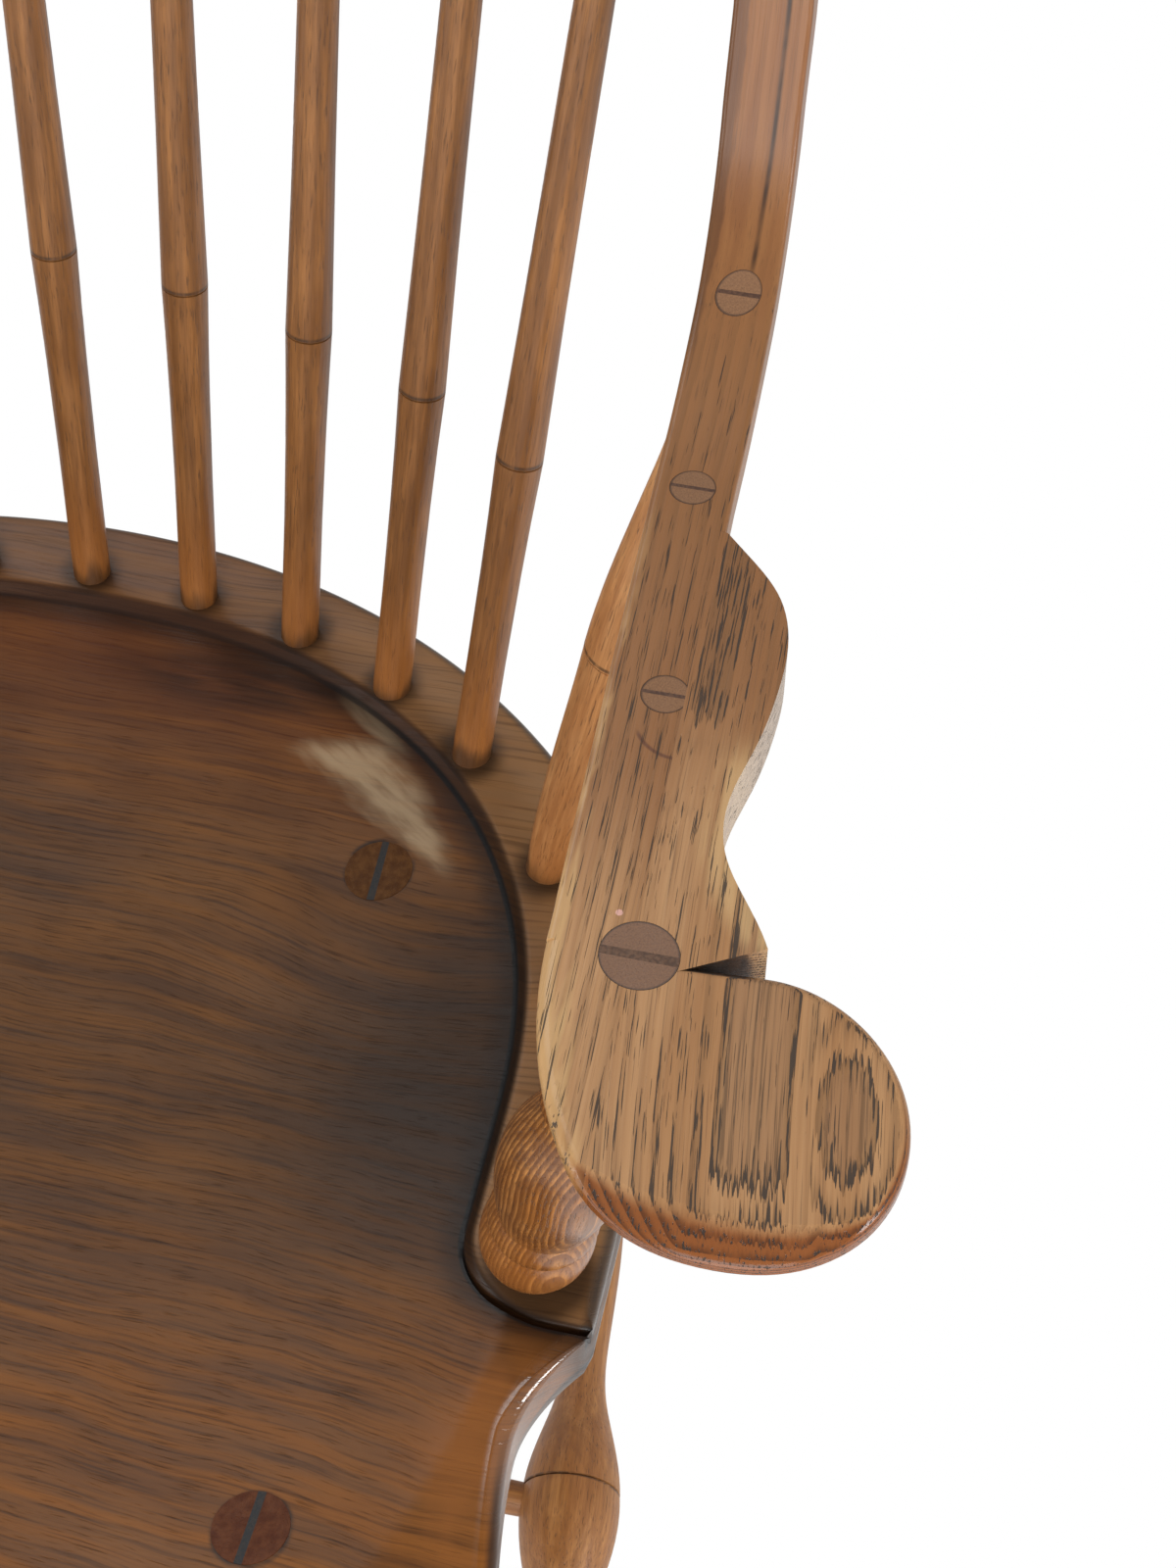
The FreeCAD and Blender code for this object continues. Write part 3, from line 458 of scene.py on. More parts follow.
front = where(tree, (y, -50.0, -200.0), summed(tree, 0.45, (mid, 0.55)))
colour = coat(tree, colour, front, 0.62, "#8C541F")
colour = coat(tree, colour, lines, 0.55, "#26140A")
colour = coat(tree, colour, pores, 0.48, "#180D06")
colour = coat(tree, colour, where(tree, (y, 40.0, 150.0)), 0.35, "#69300F")
# Almost black beside the gutter: on the sitter's left this is the arm's shadow, painted. Orange-brown at
# the front and its corners
arm_shadow = ring_of(tree, place, (200.0, -25.0, 430.0), (120.0, 95.0, 90.0))
colour = coat(tree, colour, where(tree, (arm_shadow, 1.0, 0.2)), 0.75, "#1B130D")
dark_back = ring_of(tree, place, (75.0, 128.0, 435.0), (62.0, 14.0, 40.0))
dark_tone = streaks(tree, grain, (0.10, 0.02, 0.0), 0.3, 0.6, 12.0)
colour = coat(tree, colour, where(tree, (dark_back, 1.2, 0.3), dark_tone), 0.75, "#1D0F08")
corner = ring_of(tree, place, (230.0, -150.0, 440.0), (36.0, 66.0, 60.0))
corner_tone = streaks(tree, place, (0.05, 0.03, 0.05), 0.25, 0.6, 13.0)
colour = coat(tree, colour, where(tree, (corner, 1.0, 0.25), corner_tone), 0.62, "#8C5526")
# The pale patch: rubbed through in a slanting wedge that narrows towards the front, with a
# thin spur along the gutter at its broad end
stroke = summed(tree, 0.0, (x, 0.83), (y, -0.56))
beside = summed(tree, 0.0, (x, 0.56), (y, 0.83))
patch_place = add(tree, "CombineXYZ", {0: beside, 1: stroke, 2: z})[0]
patch_fray = streaks(tree, patch_place, (0.10, 0.035, 0.0), 0.2, 0.8, 9.0)
frayed = summed(tree, -3.5, (beside, 1.0), (patch_fray, 7.0))
slanted_side = summed(tree, 0.0, (frayed, 1.0), (stroke, 0.32))
slanted_end = summed(tree, 0.0, (stroke, 1.0), (frayed, -0.92))
patch = where(tree, (frayed, 137.5, 145.5), (slanted_side, 184.0, 173.0),
              (slanted_end, -114.0, -102.0), (stroke, 108.0, 88.0))
spur = ring_of(tree, patch_place, (166.0, 36.0, 434.0), (4.0, 20.0, 60.0))
patch = add(tree, "Math", {0: patch, 1: where(tree, (spur, 1.2, 0.3))}, operation="MAXIMUM")[0]
rubbed = streaks(tree, patch_place, (0.30, 0.06, 0.0), 0.05, 0.60, 10.0)
colour = coat(tree, colour, where(tree, patch, rubbed), 0.68, "#B09A7A")
# Dirt in the seam round each leg's tenon, which has its wedge in the middle
leg_tenon_radius, tenon_top_depth = 11.3, 6.0
slips = [vertex.co / mm for vertex in nodes["leg_wedges"].data.vertices]
dirty = streaks(tree, place, (0.07, 0.07, 0.0), 0.35, 0.60, 15.0)
for side, end in ((1, 1), (1, -1), (-1, 1), (-1, -1)):
    slip = [point for point in slips if point.x * side > 0 and point.y * end > 0]
    top = max(point.z for point in slip)
    centre = middle_of([point for point in slip if point.z > top - tenon_top_depth])
    seam = ring_of(tree, place, centre, (leg_tenon_radius, leg_tenon_radius, 60.0))
    colour = coat(tree, colour, where(tree, (seam, 1.20, 1.03), dirty), 0.85, "#15110F")
# The deck, the gutter's wall darkened with painted shade and a black line of painted shade at its foot,
# grime round the feet, and painted shade on the rim's rounding
deck = where(tree, (gutter, 2.5, 5.0))
deck_tone = add(tree, "Mix", {0: where(tree, (x, 20.0, 190.0)), 6: paint("#684730"), 7: paint("#8B6744")},
                data_type="RGBA")[2]
deck_tone = coat(tree, deck_tone, blotch, 0.35, "#4A3222")
deck_tone = coat(tree, deck_tone, mid, 0.35, "#8E6236")
deck_tone = coat(tree, deck_tone, lines, 0.45, "#3A2415")
colour = add(tree, "Mix", {0: deck, 6: colour, 7: deck_tone}, data_type="RGBA")[2]
# Painted shade on the gutter's sloped wall
colour = coat(tree, colour, where(tree, (gutter, -12.0, -1.0), (gutter, 5.5, 3.0)), 0.70, "#19120E")
# A blue-black line of painted shade along the gutter's foot, strongest behind the ears and on the
# sitter's left
behind_ears = (y, -150.0, -105.0)
line_strength = summed(tree, 0.0, (where(tree, behind_ears), 0.45),
                       (where(tree, (x, 60.0, 170.0), behind_ears), 0.55))
gutter_shade_line = line_at(tree, gutter, -0.2, 1.0, 0.5)
colour = coat(tree, colour, where(tree, gutter_shade_line, line_strength), 0.9, "#0B1013")
soiled = summed(tree, foot, (blotch, -4.0))
colour = coat(tree, colour, where(tree, (soiled, 7.0, -2.0)), 0.75, "#1E120A")
# The rim's rounding: painted shade in its colour where the deck turns down to the side, and rubbed gloss
edge = where(tree, (rim, 5.0, 1.5), (gutter, 1.0, 3.0))
colour = coat(tree, colour, edge, 0.75, "#221E1B")
# The scoops behind the front corners: a side darkened with painted shade, and an edge that is rubbed
# glossy
outward = add(tree, "Math", {0: x}, operation="ABSOLUTE")[0]
at_sides = (outward, 150.0, 190.0)
shaded_scoop_side = where(tree, (rim, 4.0, 1.5), (y, -138.0, -165.0), at_sides)
colour = coat(tree, colour, shaded_scoop_side, 0.80, "#231B16")
scoop_edge = where(tree, (rim, 7.5, 4.0), (rim, -1.0, 0.5), (y, -100.0, -118.0),
                   (y, -178.0, -150.0), at_sides)
worn_smooth = streaks(tree, place, (0.01, 0.01, 0.01), 0.3, 0.7, 14.0)
roughness = summed(tree, 0.36, (mid, 0.08), (scoop_edge, -0.26), (edge, -0.10), (worn_smooth, -0.06))
shine = summed(tree, 0.16, (scoop_edge, 0.84), (edge, 0.2))
height = summed(tree, 0.0, (pores, -1.0), (lines, -0.4))
varnish(made, colour, roughness, height, 0.05, shine)
seat_mesh.materials.append(made)


# Turned pieces: legs, stretchers, arm stumps and spindles, each turned or shaved round and
# glued in its sockets. Satin oiled wood, whose growth rings draw arcs where the turning
# cuts across them, with dirt in the scribed rings and round the ends that show.

pith_x, pith_y, turned_ring_gap = 9.0, 24.0, 1.8


def turned_wood(made, low, high, finish, ring_at, foot_at, seed):
    """Closes a material for a turned piece. Lengths run in millimetres from its low end.

    Ring_at is the place of its scribed ring, and foot_at is where it comes out of the deck.
    """
    dark, pale, streak = finish["tones"]
    tree = made.node_tree
    length = (high - low).length
    turn = (high - low).to_track_quat("Z", "Y").to_euler()
    found = add(tree, "TexCoord", {})["Object"]
    local = add(tree, "Mapping", {"Vector": found, "Location": low * mm, "Rotation": turn,
                                  "Scale": (mm, mm, mm)}, vector_type="TEXTURE")[0]
    x, y, along = add(tree, "SeparateXYZ", {0: local})
    grain = add(tree, "CombineXYZ", {0: x, 1: along, 2: y})[0]
    mottle = streaks(tree, grain, (0.12, 0.030, 0.12), 0.32, 0.68, seed)
    bands = streaks(tree, grain, (0.38, 0.012, 0.25), 0.35, 0.65, seed + 1)
    fibre = streaks(tree, grain, (1.5, 0.06, 1.5), 0.42, 0.68, seed + 2)
    pores = streaks(tree, grain, (2.0, 0.12, 2.0), 0.58, 0.68, seed + 3)
    # Growth rings about a pith that lies beside the piece
    wander = streaks(tree, grain, (0.03, 0.015, 0.03), 0.1, 0.9, seed + 4)
    off_pith = add(tree, "CombineXYZ", {0: summed(tree, pith_x, (x, 1.0)),
                                        1: summed(tree, pith_y, (y, 1.0))})[0]
    from_pith = add(tree, "VectorMath", {0: off_pith}, operation="LENGTH")["Value"]
    phase = summed(tree, 0.0, (from_pith, 1 / turned_ring_gap), (wander, 2.4))
    phase = add(tree, "Math", {0: phase}, operation="FRACT")[0]
    ring_lines = where(tree, (phase, 0.0, 0.7), (phase, 1.0, 0.92))
    colour = add(tree, "Mix", {0: mottle, 6: paint(dark), 7: paint(pale)}, data_type="RGBA")[2]
    colour = coat(tree, colour, bands, 0.60, streak)
    colour = coat(tree, colour, ring_lines, finish["rings"], streak)
    colour = coat(tree, colour, fibre, 0.40, streak)
    colour = coat(tree, colour, pores, 0.60, "#4A3220")
    # Warmer just above the foot, with a dark stain where the piece leaves the deck
    if foot_at is not None:
        colour = coat(tree, colour, where(tree, (along, foot_at + 70.0, foot_at)), 0.50, "#A8672F")
        stained = summed(tree, along, (mottle, -9.0))
        colour = coat(tree, colour, where(tree, (stained, foot_at + 6.0, foot_at - 6.0)), 0.80, "#33200F")
    if ring_at is not None:
        dirt = streaks(tree, grain, (0.25, 0.0, 0.25), 0.25, 0.55, seed + 5)
        scribe = line_at(tree, along, ring_at, 0.65, 0.45)
        colour = coat(tree, colour, where(tree, scribe, dirt), 0.75, "#33251B")
    # The tenon that shows in the arm: dry end grain with dirt round it
    dry = 0.0
    if "tip" in finish:
        tip_radius, tip_dark, tip_pale = finish["tip"]
        spread = add(tree, "CombineXYZ", {0: x, 1: y})[0]
        away = add(tree, "VectorMath", {0: spread}, operation="LENGTH")["Value"]
        tip = where(tree, (along, length - 26.0, length - 24.0))
        dry = tip
        cross = streaks(tree, grain, (1.6, 0.0, 2.4), 0.30, 0.70, seed + 6)
        end_grain = add(tree, "Mix", {0: cross, 6: paint(tip_dark), 7: paint(tip_pale)},
                        data_type="RGBA")[2]
        colour = add(tree, "Mix", {0: tip, 6: colour, 7: end_grain}, data_type="RGBA")[2]
        outline = where(tree, tip, (away, tip_radius - 0.6, tip_radius - 0.1))
        colour = coat(tree, colour, outline, 0.75, "#3A2920")
    gloss = finish["gloss"]
    roughness = summed(tree, 0.38 - 0.14 * gloss, (mottle, 0.10), (dry, 0.30))
    height = summed(tree, 0.0, (pores, -1.0), (fibre, 0.3), (ring_lines, -0.3))
    varnish(made, colour, roughness, height, 0.08, 0.42 + 0.35 * gloss)


# Tones are dark, pale and that of the streaks. A tip is its radius with its two tones.
finishes = {
    "long": {"tones": ("#8A5B31", "#A06C3B", "#643F20"), "rings": 0.10, "gloss": 0.2},
    # The short spindles are the same wood as the long ones; their paler tones paint in the light that
    # falls on them
    "short": {"tones": ("#C78B55", "#D8A067", "#9A653A"), "rings": 0.25, "gloss": 0.2,
              "tip": (6.2, "#7A563B", "#8A6444")},
    "arm": {"tones": ("#A66C36", "#BC8246", "#583115"), "rings": 0.80, "gloss": 1.0,
            "tip": (9.6, "#6D4B34", "#7B573B")},
    "front": {"tones": ("#9F6732", "#AF7841", "#794A23"), "rings": 0.25, "gloss": 0.1},
    "rear": {"tones": ("#9F6732", "#AF7841", "#794A23"), "rings": 0.25, "gloss": 0.1},
    "side": {"tones": ("#A66E3A", "#B6804A", "#82522B"), "rings": 0.20, "gloss": 0.1},
    "medial": {"tones": ("#A66E3A", "#B6804A", "#82522B"), "rings": 0.20, "gloss": 0.1},
}
# A stretcher's ring is scribed at or beside its bulge, a share of the way along
bulge_shares, scribe_offsets = {"side": 0.488, "medial": 0.5}, {"side": 7.0, "medial": 0.0}
tenon_tones = {"front": ("#4C2716", "#5E3620"), "rear": ("#47290F", "#5B3A1B")}
for number, name in enumerate(sorted(turned_ends)):
    low, high = turned_ends[name]
    kind = name.split("_")[0]
    upward = (high - low).normalized().z
    ring_at, foot_at = None, None
    if kind in ("long", "short", "arm"):
        foot_at = (seat_height - low.z) / upward
    if name in rings:
        ring_at = foot_at + rings[name] / upward
    if kind in bulge_shares:
        ring_at = (high - low).length * bulge_shares[kind] + scribe_offsets[kind]
    made = material("satin oiled wood of the " + name.replace("_", " "))
    turned_wood(made, low, high, finishes[kind], ring_at, foot_at, 40.0 + 5.0 * number)
    if kind in tenon_tones:
        # The leg's tenon shows in the dish, stained as dark as the plank
        tree = made.node_tree
        surface = tree.nodes["Principled BSDF"]
        place, _, _, z = here(tree)
        end_fleck = streaks(tree, place, (0.35, 0.35, 0.10), 0.3, 0.7, 70.0)
        dark, pale = tenon_tones[kind]
        end_tone = add(tree, "Mix", {0: end_fleck, 6: paint(dark), 7: paint(pale)}, data_type="RGBA")[2]
        plain = surface.inputs["Base Color"].links[0].from_socket
        in_dish = where(tree, (z, 408.0, 414.0))
        dressed = add(tree, "Mix", {0: in_dish, 6: plain, 7: end_tone}, data_type="RGBA")[2]
        tree.links.new(dressed, surface.inputs["Base Color"])
        tree.links.new(summed(tree, 0.42, (in_dish, -0.32)), surface.inputs["Specular IOR Level"])
    nodes[name].data.materials.clear()
    nodes[name].data.materials.append(made)


# The bow: one strip of riven oak, bent while hot into both arms' inner halves and the hoop,
# oiled and polished by hands, with dirt in the open pores. The pores crowd along each growth
# ring, so a ring that meets the face at a low angle draws a dark jagged flame.

# The arms close in by the toe for each millimetre backwards, and their upper face is level
arm_toe, arm_face = 0.0325, 673.0
# Growth rings across the oak: the gap from one to the next, and the place of the first
ring_gap, first_ring = 4.3, 7.0


def oak(made, grain, level, crowd, bare, often, seed, aged, red, marks):
    """Closes a material for oak.

    Level counts millimetres across the growth rings, crowd is how thickly pores stand along a
    ring, bare thins them out, and often is how many cross a millimetre in each direction of
    the grain. Aged is a mask for browner wood, and red for the sides that are red-brown.
    Marks are (mask, strength, colour).
    """
    tree = made.node_tree
    # Phase counts the rings outwards from the first one. Inside that lies the heart.
    drift = streaks(tree, grain, (0.05, 0.012, 0.05), 0.2, 0.8, seed + 2)
    phase = summed(tree, -(first_ring + 0.8) / ring_gap, (level, 1 / ring_gap), (drift, 1.6 / ring_gap))
    share = add(tree, "Math", {0: phase}, operation="FRACT")[0]
    # Pores stand thickest at the ring's outer edge and thin out inwards
    kept = streaks(tree, grain, (0.10, 0.010, 0.10), 0.30, 0.48, seed + 3)
    kept = add(tree, "Math", {0: kept, 1: where(tree, (phase, 0.4, 0.1))}, operation="MAXIMUM")[0]
    early = where(tree, (share, 0.25, 0.95), (share, 1.0, 0.98), (phase, -0.99, -0.90), kept)
    heart = where(tree, (phase, -0.32, -0.52))
    scatter = streaks(tree, grain, often, 0.0, 1.0, seed)
    dots = streaks(tree, grain, (1.5, 0.45, 1.5), 0.0, 1.0, seed + 8)
    scatter = add(tree, "Mix", {0: red, 2: scatter, 3: dots})[0]
    crowded = add(tree, "Math", {0: early, 1: crowd}, operation="MULTIPLY")[0]
    open_pore = where(tree, (summed(tree, scatter, (crowded, 1.0), (bare, -0.12)), 0.705, 0.775))
    hair = streaks(tree, grain, (3.2, 0.035, 3.2), 0.56, 0.70, seed + 5)
    tone = streaks(tree, grain, (0.07, 0.008, 0.07), 0.3, 0.7, seed + 6)
    silk = streaks(tree, grain, (0.9, 0.020, 0.9), 0.35, 0.7, seed + 7)
    colour = add(tree, "Mix", {0: tone, 6: paint("#A5774B"), 7: paint("#B88C60")}, data_type="RGBA")[2]
    colour = coat(tree, colour, aged, 0.85, "#86572F")
    colour = coat(tree, colour, silk, 0.34, "#8A5C35")
    colour = coat(tree, colour, heart, 0.42, "#7E5A3E")
    colour = coat(tree, colour, where(tree, early, (crowd, 0.0, 0.3)), 0.60, "#644628")
    colour = coat(tree, colour, red, 0.90, "#824517")
    colour = coat(tree, colour, where(tree, early, red), 0.75, "#4A2812")
    colour = coat(tree, colour, hair, 0.48, "#543B26")
    colour = coat(tree, colour, where(tree, hair, heart), 0.60, "#3C2E23")
    lined = streaks(tree, grain, (1.5, 0.022, 1.5), 0.50, 0.62, seed + 9)
    colour = coat(tree, colour, where(tree, lined, heart), 0.50, "#40301F")
    for mask, strength, hexcode in marks:
        colour = coat(tree, colour, mask, strength, hexcode)
    colour = coat(tree, colour, open_pore, 0.90, "#332B25")
    roughness = summed(tree, 0.36, (open_pore, 0.25), (red, -0.15))
    height = summed(tree, 0.0, (open_pore, -1.0), (silk, 0.12))
    varnish(made, colour, roughness, height, 0.14, 0.40)


def folded(tree):
    """The place in millimetres with both sides folded onto the left one."""
    place, x, y, z = here(tree)
    x = add(tree, "Math", {0: x}, operation="ABSOLUTE")[0]
    return add(tree, "CombineXYZ", {0: x, 1: y, 2: z})[0], x, y, z


# The strip is level along the arms and leans back in the hoop
hoop_half_width, hoop_spring, hoop_crest, hoop_power = 247.0, 740.0, 945.0, 2.15
hoop_lean_y, hoop_lean_z, hoop_foot_y, bend_round = 0.92, 0.39, 90.0, 30.0
arm_inner_edge, toe_start_y, bow_quarter = 240.2, 34.0, 5.6

made = material("oiled oak of the bow")
tree = made.node_tree
place, x, y, z = folded(tree)
rise = add(tree, "Math", {0: summed(tree, -hoop_spring, (z, 1.0)), 1: 0.0}, operation="MAXIMUM")[0]
wide = summed(tree, 0.0, (x, 1 / hoop_half_width))
wide = add(tree, "Math", {0: wide, 1: hoop_power}, operation="POWER")[0]
high = summed(tree, 0.0, (rise, 1 / (hoop_crest - hoop_spring)))
high = add(tree, "Math", {0: high, 1: hoop_power}, operation="POWER")[0]
hoop = summed(tree, wide, (high, 1.0))
hoop = add(tree, "Math", {0: hoop, 1: 1 / hoop_power}, operation="POWER")[0]
toe = add(tree, "Math", {0: y, 1: toe_start_y}, operation="MINIMUM")[0]
across = summed(tree, 0.0, (hoop, hoop_half_width), (toe, arm_toe))
along = summed(tree, 0.0, (x, -0.8), (y, 1.0), (z, 1.0))
raised = summed(tree, -arm_face, (z, 1.0))
leaned = summed(tree, hoop_foot_y * hoop_lean_y, (y, -hoop_lean_y), (raised, hoop_lean_z))
depth = add(tree, "Math", {0: raised, 1: leaned, 2: bend_round}, operation="SMOOTH_MIN")[0]
grain = add(tree, "CombineXYZ", {0: across, 1: along, 2: summed(tree, 0.0, (depth, 0.15))})[0]

# The inner edge, which swings outwards over the hand, is worn pale in a strip that widens
# towards the front
past_wrist = add(tree, "Math", {0: y, 1: -110.0}, operation="MINIMUM")[0]
past_wrist = summed(tree, 5.83, (past_wrist, 0.053))
hand_swing = add(tree, "Math", {0: past_wrist, 1: past_wrist}, operation="MULTIPLY")[0]
inner = summed(tree, -arm_inner_edge, (across, 1.0), (hand_swing, -1.0))
ragged = streaks(tree, grain, (0.30, 0.05, 0.30), 0.2, 0.8, 71.0)
widening = where(tree, (y, -60.0, -150.0))
worn = summed(tree, inner, (ragged, 7.0), (widening, -5.0))
worn = where(tree, (worn, 6.0, 0.5), (y, 60.0, -60.0), (y, -188.0, -172.0))
nicks = streaks(tree, grain, (0.5, 0.22, 0.5), 0.58, 0.64, 72.0)
nicks = where(tree, nicks, (inner, 6.0, 0.0), (y, -150.0, -172.0))

# A crescent bruised by a tool, a spot of paint, and a scribed line up the hoop's outer side
bruise_centre, bruise_radius = (262.4, -47.0, arm_face), 12.2
bruise = ring_of(tree, place, bruise_centre, (1.0, 1.0, 30.0))
bruise = where(tree, line_at(tree, bruise, bruise_radius, 0.50, 0.35), (y, -51.0, -54.0),
               (x, 266.0, 264.0), (x, 250.5, 252.0))
fleck_centre, fleck_radius = (258.7, -107.9, arm_face), 0.95
fleck = ring_of(tree, place, fleck_centre, (fleck_radius, fleck_radius, 3.0))
fleck = where(tree, (fleck, 1.1, 0.8))
pressed = streaks(tree, grain, (0.0, 0.05, 0.0), 0.3, 0.6, 75.0)
pressed = summed(tree, 0.45, (pressed, 0.55))
scribed = line_at(tree, across, hoop_half_width + bow_quarter, 0.65, 0.50)
scribed = where(tree, scribed, (z, 676.0, 681.0), (y, 100.0, 110.0), pressed)

# The hoop is browner, with grime along its inner edge. The hand's sloped front and the rubbed
# rim beside it show the red-brown of older oil.
streaky = streaks(tree, grain, (0.34, 0.012, 0.3), 0.38, 0.64, 73.0)
shaded = where(tree, streaky, (z, 674.0, 700.0))
grubby = summed(tree, inner, (ragged, -1.6))
grubby = where(tree, (grubby, 1.2, 0.0), (z, 674.0, 682.0))
reddened = where(tree, (z, 676.0, 735.0))
bare = where(tree, (y, -20.0, 90.0))
bare = add(tree, "Math", {0: reddened, 1: bare}, operation="MAXIMUM")[0]
slope = where(tree, (z, 672.99, 672.3), (y, -150.0, -178.0))
rubbed_rim = summed(tree, inner, (ragged, 2.0))
rubbed_rim = where(tree, (rubbed_rim, 6.5, 3.5), (y, -158.0, -172.0))
red = add(tree, "Math", {0: slope, 1: rubbed_rim}, operation="MAXIMUM")[0]
red = add(tree, "Math", {0: red, 1: summed(tree, 0.0, (reddened, 0.22))}, operation="MAXIMUM")[0]
crowd = summed(tree, 0.0, (where(tree, (z, 700.0, 676.0)), 0.15))
aged = where(tree, (y, -122.0, -55.0))
marks = ((worn, 0.62, "#CBA46F"), (nicks, 0.8, "#3B2413"), (bruise, 0.75, "#56301F"),
         (fleck, 0.9, "#D8A598"), (shaded, 0.38, "#6A3D21"), (grubby, 0.55, "#4A2E1B"),
         (scribed, 0.90, "#24160E"))
oak(made, grain, across, crowd, bare, (2.6, 0.055, 2.6), 9.0, aged, red, marks)
nodes["bow"].data.materials.clear()
nodes["bow"].data.materials.append(made)


# The arm blocks: sawn oak, glued outside the bow and shaped with it into the wide arm and the
# hand. Their rings meet the face flat, so they draw a long flame and an oval on the hand and a
# smaller flame on the swelling behind.

# A flame is its middle, its half width and its front end
hand_flame, swelling_flame = (291.1, 9.4, -176.5), (266.5, 5.0, -46.0)
flame_slant = 0.42
oval_middle, oval_reach = (312.6, -151.9, arm_face), (7.6, 19.0, 60.0)
swing_start_y, swing_bend = 70.0, 0.00052
tooth_length = 7.0

for name in ("arm_block_left", "arm_block_right"):
    made = material("oiled oak of the " + name.replace("_", " "))
    tree = made.node_tree
    place, x, y, z = folded(tree)
    # The fibres follow the arm's toe and swing outwards over the hand
    swing = summed(tree, swing_start_y, (y, 1.0))
    swing = add(tree, "Math", {0: swing, 1: 0.0}, operation="MINIMUM")[0]
    swing = add(tree, "Math", {0: swing, 1: swing}, operation="MULTIPLY")[0]
    across = summed(tree, x, (y, arm_toe), (swing, -swing_bend))
    grain = add(tree, "CombineXYZ", {0: across, 1: y, 2: z})[0]
    # Teeth on the face: neighbouring fibres end at uneven lengths
    teeth = streaks(tree, grain, (1.25, 0.010, 0.0), 0.28, 0.72, 80.0)
    reach = where(tree, (z, 671.0, 672.9))
    teeth = add(tree, "Math", {0: teeth, 1: reach}, operation="MULTIPLY")[0]
    y_teeth = summed(tree, y, (reach, -tooth_length / 2), (teeth, tooth_length))
    # The flames are open behind and closed in front
    flames = []
    for middle, half_width, front_end in (hand_flame, swelling_flame):
        beside = add(tree, "Math", {0: summed(tree, -middle, (across, 1.0))}, operation="ABSOLUTE")[0]
        ahead = summed(tree, half_width + front_end * flame_slant, (y_teeth, -flame_slant))
        flame = add(tree, "Math", {0: beside, 1: ahead, 2: 3.0}, operation="SMOOTH_MAX")[0]
        flames.append(summed(tree, first_ring - half_width, (flame, 1.0)))
    # The closed oval on the hand
    toothed_place = add(tree, "CombineXYZ", {0: across, 1: y_teeth, 2: z})[0]
    oval = ring_of(tree, toothed_place, oval_middle, oval_reach)
    oval = summed(tree, first_ring - oval_reach[0], (oval, oval_reach[0]))
    # The flame on the swelling only just cuts its ring, so pores fill it
    shallow = add(tree, "Math", {0: flames[1], 1: first_ring - 1.0}, operation="MAXIMUM")[0]
    level = add(tree, "Math", {0: flames[0], 1: shallow, 2: 2.0}, operation="SMOOTH_MIN")[0]
    level = add(tree, "Math", {0: level, 1: oval, 2: 1.5}, operation="SMOOTH_MIN")[0]
    crowd = summed(tree, 0.10, (where(tree, (level, 13.0, 8.0)), 0.16),
                   (where(tree, (y, -150.0, -178.0)), 0.06), (where(tree, (y, -75.0, -60.0)), -0.08))
    level = summed(tree, level, (summed(tree, arm_face, (z, -1.0)), 4.0))
    upward = add(tree, "SeparateXYZ", {0: add(tree, "TexCoord", {})["Normal"]})[2]
    slope = where(tree, (z, 672.99, 672.3), (y, -130.0, -172.0))
    # The notch behind the hand is darkened with painted shade, almost black at its tip
    shaded_notch = ring_of(tree, place, (276.0, -118.0, 664.0), (20.0, 12.0, 24.0))
    shaded_notch = where(tree, (shaded_notch, 1.0, 0.85), (upward, 0.98, 0.90))
    notch_tone = streaks(tree, grain, (0.5, 0.1, 0.3), 0.35, 0.65, 74.0)
    notch_shade = where(tree, shaded_notch, notch_tone)
    deepest_shade = where(tree, shaded_notch, (x, 297.0, 280.0))
    # The swelling's side is made pale by a painted reflection, and the edge at the waist is rubbed pale
    side_reflection = where(tree, (upward, 0.6, 0.1), (y, -100.0, -60.0))
    bleached = streaks(tree, grain, (0.55, 0.02, 0.5), 0.30, 0.62, 76.0)
    pinch = summed(tree, 76.0, (y, 1.0))
    pinch = add(tree, "Math", {0: pinch, 1: 0.0}, operation="MINIMUM")[0]
    pinch = add(tree, "Math", {0: pinch, 1: pinch}, operation="MULTIPLY")[0]
    waist = summed(tree, x, (pinch, -0.013))
    waist = where(tree, (waist, 270.0, 278.0), (y, -116.0, -108.0), (y, -45.0, -62.0), bleached)
    marks = ((waist, 0.62, "#CDA875"), (side_reflection, 0.62, "#B8AA98"), (shaded_notch, 0.85, "#4A2C19"),
             (notch_shade, 0.7, "#1D120C"), (deepest_shade, 0.9, "#120C08"))
    seed = 3.0 if "left" in name else 23.0
    aged = where(tree, (y, -100.0, -20.0))
    oak(made, grain, level, crowd, 0.0, (2.2, 0.070, 2.2), seed, aged, slope, marks)
    nodes[name].data.materials.clear()
    nodes[name].data.materials.append(made)


# The wedges: thin slips of hardwood driven into the saw cuts, their end grain gone dark with
# dirt and oil. Those in the seat's tenons are stained blue-black.

wedge_tones = {"leg_wedges": ("#14181B", "#251F1B"), "stump_wedges": ("#4F392C", "#674C3A"),
               "short_spindle_wedges": ("#4A3226", "#5E4231"),
               "long_spindle_wedges": ("#3D2A1F", "#523A2B")}
for name, (dark, pale) in wedge_tones.items():
    made = material("darkened end grain of the " + name.replace("_", " "))
    tree = made.node_tree
    fleck = streaks(tree, here(tree)[0], (0.9, 0.9, 0.4), 0.35, 0.65, 5.0)
    colour = add(tree, "Mix", {0: fleck, 6: paint(dark), 7: paint(pale)}, data_type="RGBA")[2]
    varnish(made, colour, 0.5, fleck, 0.05, 0.35)
    nodes[name].data.materials.clear()
    nodes[name].data.materials.append(made)


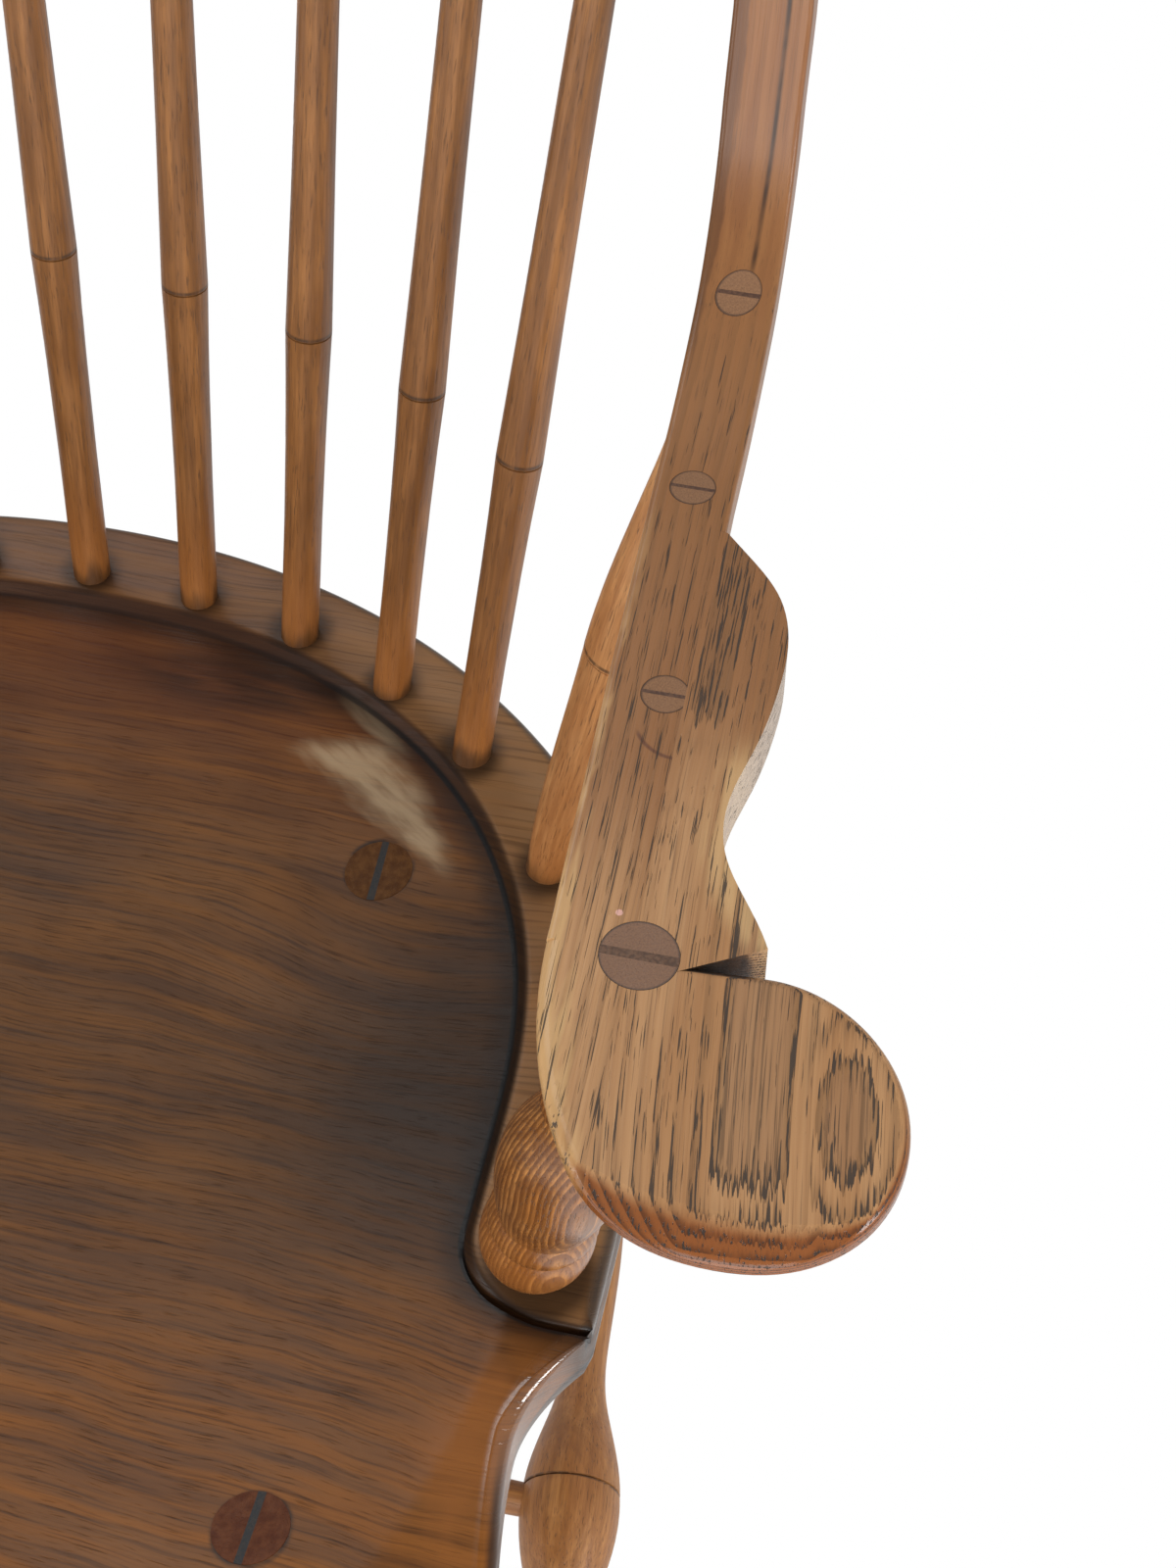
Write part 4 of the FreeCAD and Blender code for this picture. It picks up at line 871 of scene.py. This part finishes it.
# The studio: a floor of white paper that the camera sees as pure white, pale air, a large soft
# lamp behind the chair, a lower one in front and one at each side. The camera looks steeply
# down from the front left, over the sitter's left arm.

floor_size, paper_white = 12.0, (0.8, 0.8, 0.8, 1.0)
white, air_strength = (1.0, 1.0, 1.0, 1.0), 0.5

bpy.ops.mesh.primitive_plane_add(size=floor_size, location=(0, 0, 0))
floor = bpy.context.object
floor.name = "studio_floor"
paper = material("studio paper, seen as white")
seen = add(paper.node_tree, "LightPath", {})["Is Camera Ray"]
matte = add(paper.node_tree, "BsdfDiffuse", {"Color": paper_white})[0]
glow = add(paper.node_tree, "Emission", {"Color": white, "Strength": 1.0})[0]
both = add(paper.node_tree, "MixShader", {0: seen, 1: matte, 2: glow})[0]
paper.node_tree.links.new(both, paper.node_tree.nodes["Material Output"].inputs["Surface"])
floor.data.materials.append(paper)

air = bpy.data.worlds.new("studio air")
bpy.context.scene.world = air
air.use_nodes = True
air.node_tree.nodes["Background"].inputs["Color"].default_value = white
air.node_tree.nodes["Background"].inputs["Strength"].default_value = air_strength

# Each lamp's place and size in metres and its power in watts
lit_middle = (0.1, -0.05, 0.5)
lamps = (("window", (-1.2, 1.4, 2.6), 1.6, 26.0), ("front", (0.6, -2.4, 1.5), 2.0, 50.0),
         ("right", (2.3, -0.5, 1.1), 0.7, 20.0), ("left", (-2.0, -1.1, 0.85), 1.0, 16.0))
for name, place, size, power in lamps:
    lamp = bpy.data.objects.new(name + " lamp", bpy.data.lights.new(name + " lamp", "AREA"))
    lamp.data.size, lamp.data.energy = size, power
    lamp.location = place
    lamp.rotation_euler = (Vector(lit_middle) - Vector(place)).to_track_quat("-Z", "Y").to_euler()
    bpy.context.collection.objects.link(lamp)

# The camera's place in metres and its turns in radians, solved from the chair's own planes
camera_place, lens, sensor_width = (0.33126, -0.47553, 1.20999), 62.772, 36.0
pitch, turn, roll = 0.9147, -0.215, 0.0023
camera = bpy.data.objects.new("camera", bpy.data.cameras.new("camera"))
bpy.context.collection.objects.link(camera)
bpy.context.scene.camera = camera
camera.data.sensor_width, camera.data.lens = sensor_width, lens
upright = Vector((0, 0, 1))
ahead = Vector((math.sin(turn), math.cos(turn), 0))
beside = Vector((math.cos(turn), -math.sin(turn), 0))
looking = ahead * math.cos(pitch) - upright * math.sin(pitch)
above = ahead * math.sin(pitch) + upright * math.cos(pitch)
axes = Matrix((beside * math.cos(roll) + above * math.sin(roll),
               above * math.cos(roll) - beside * math.sin(roll), -looking))
camera.matrix_world = Matrix.Translation(camera_place) @ axes.transposed().to_4x4()

bpy.context.scene.view_settings.view_transform = "Standard"
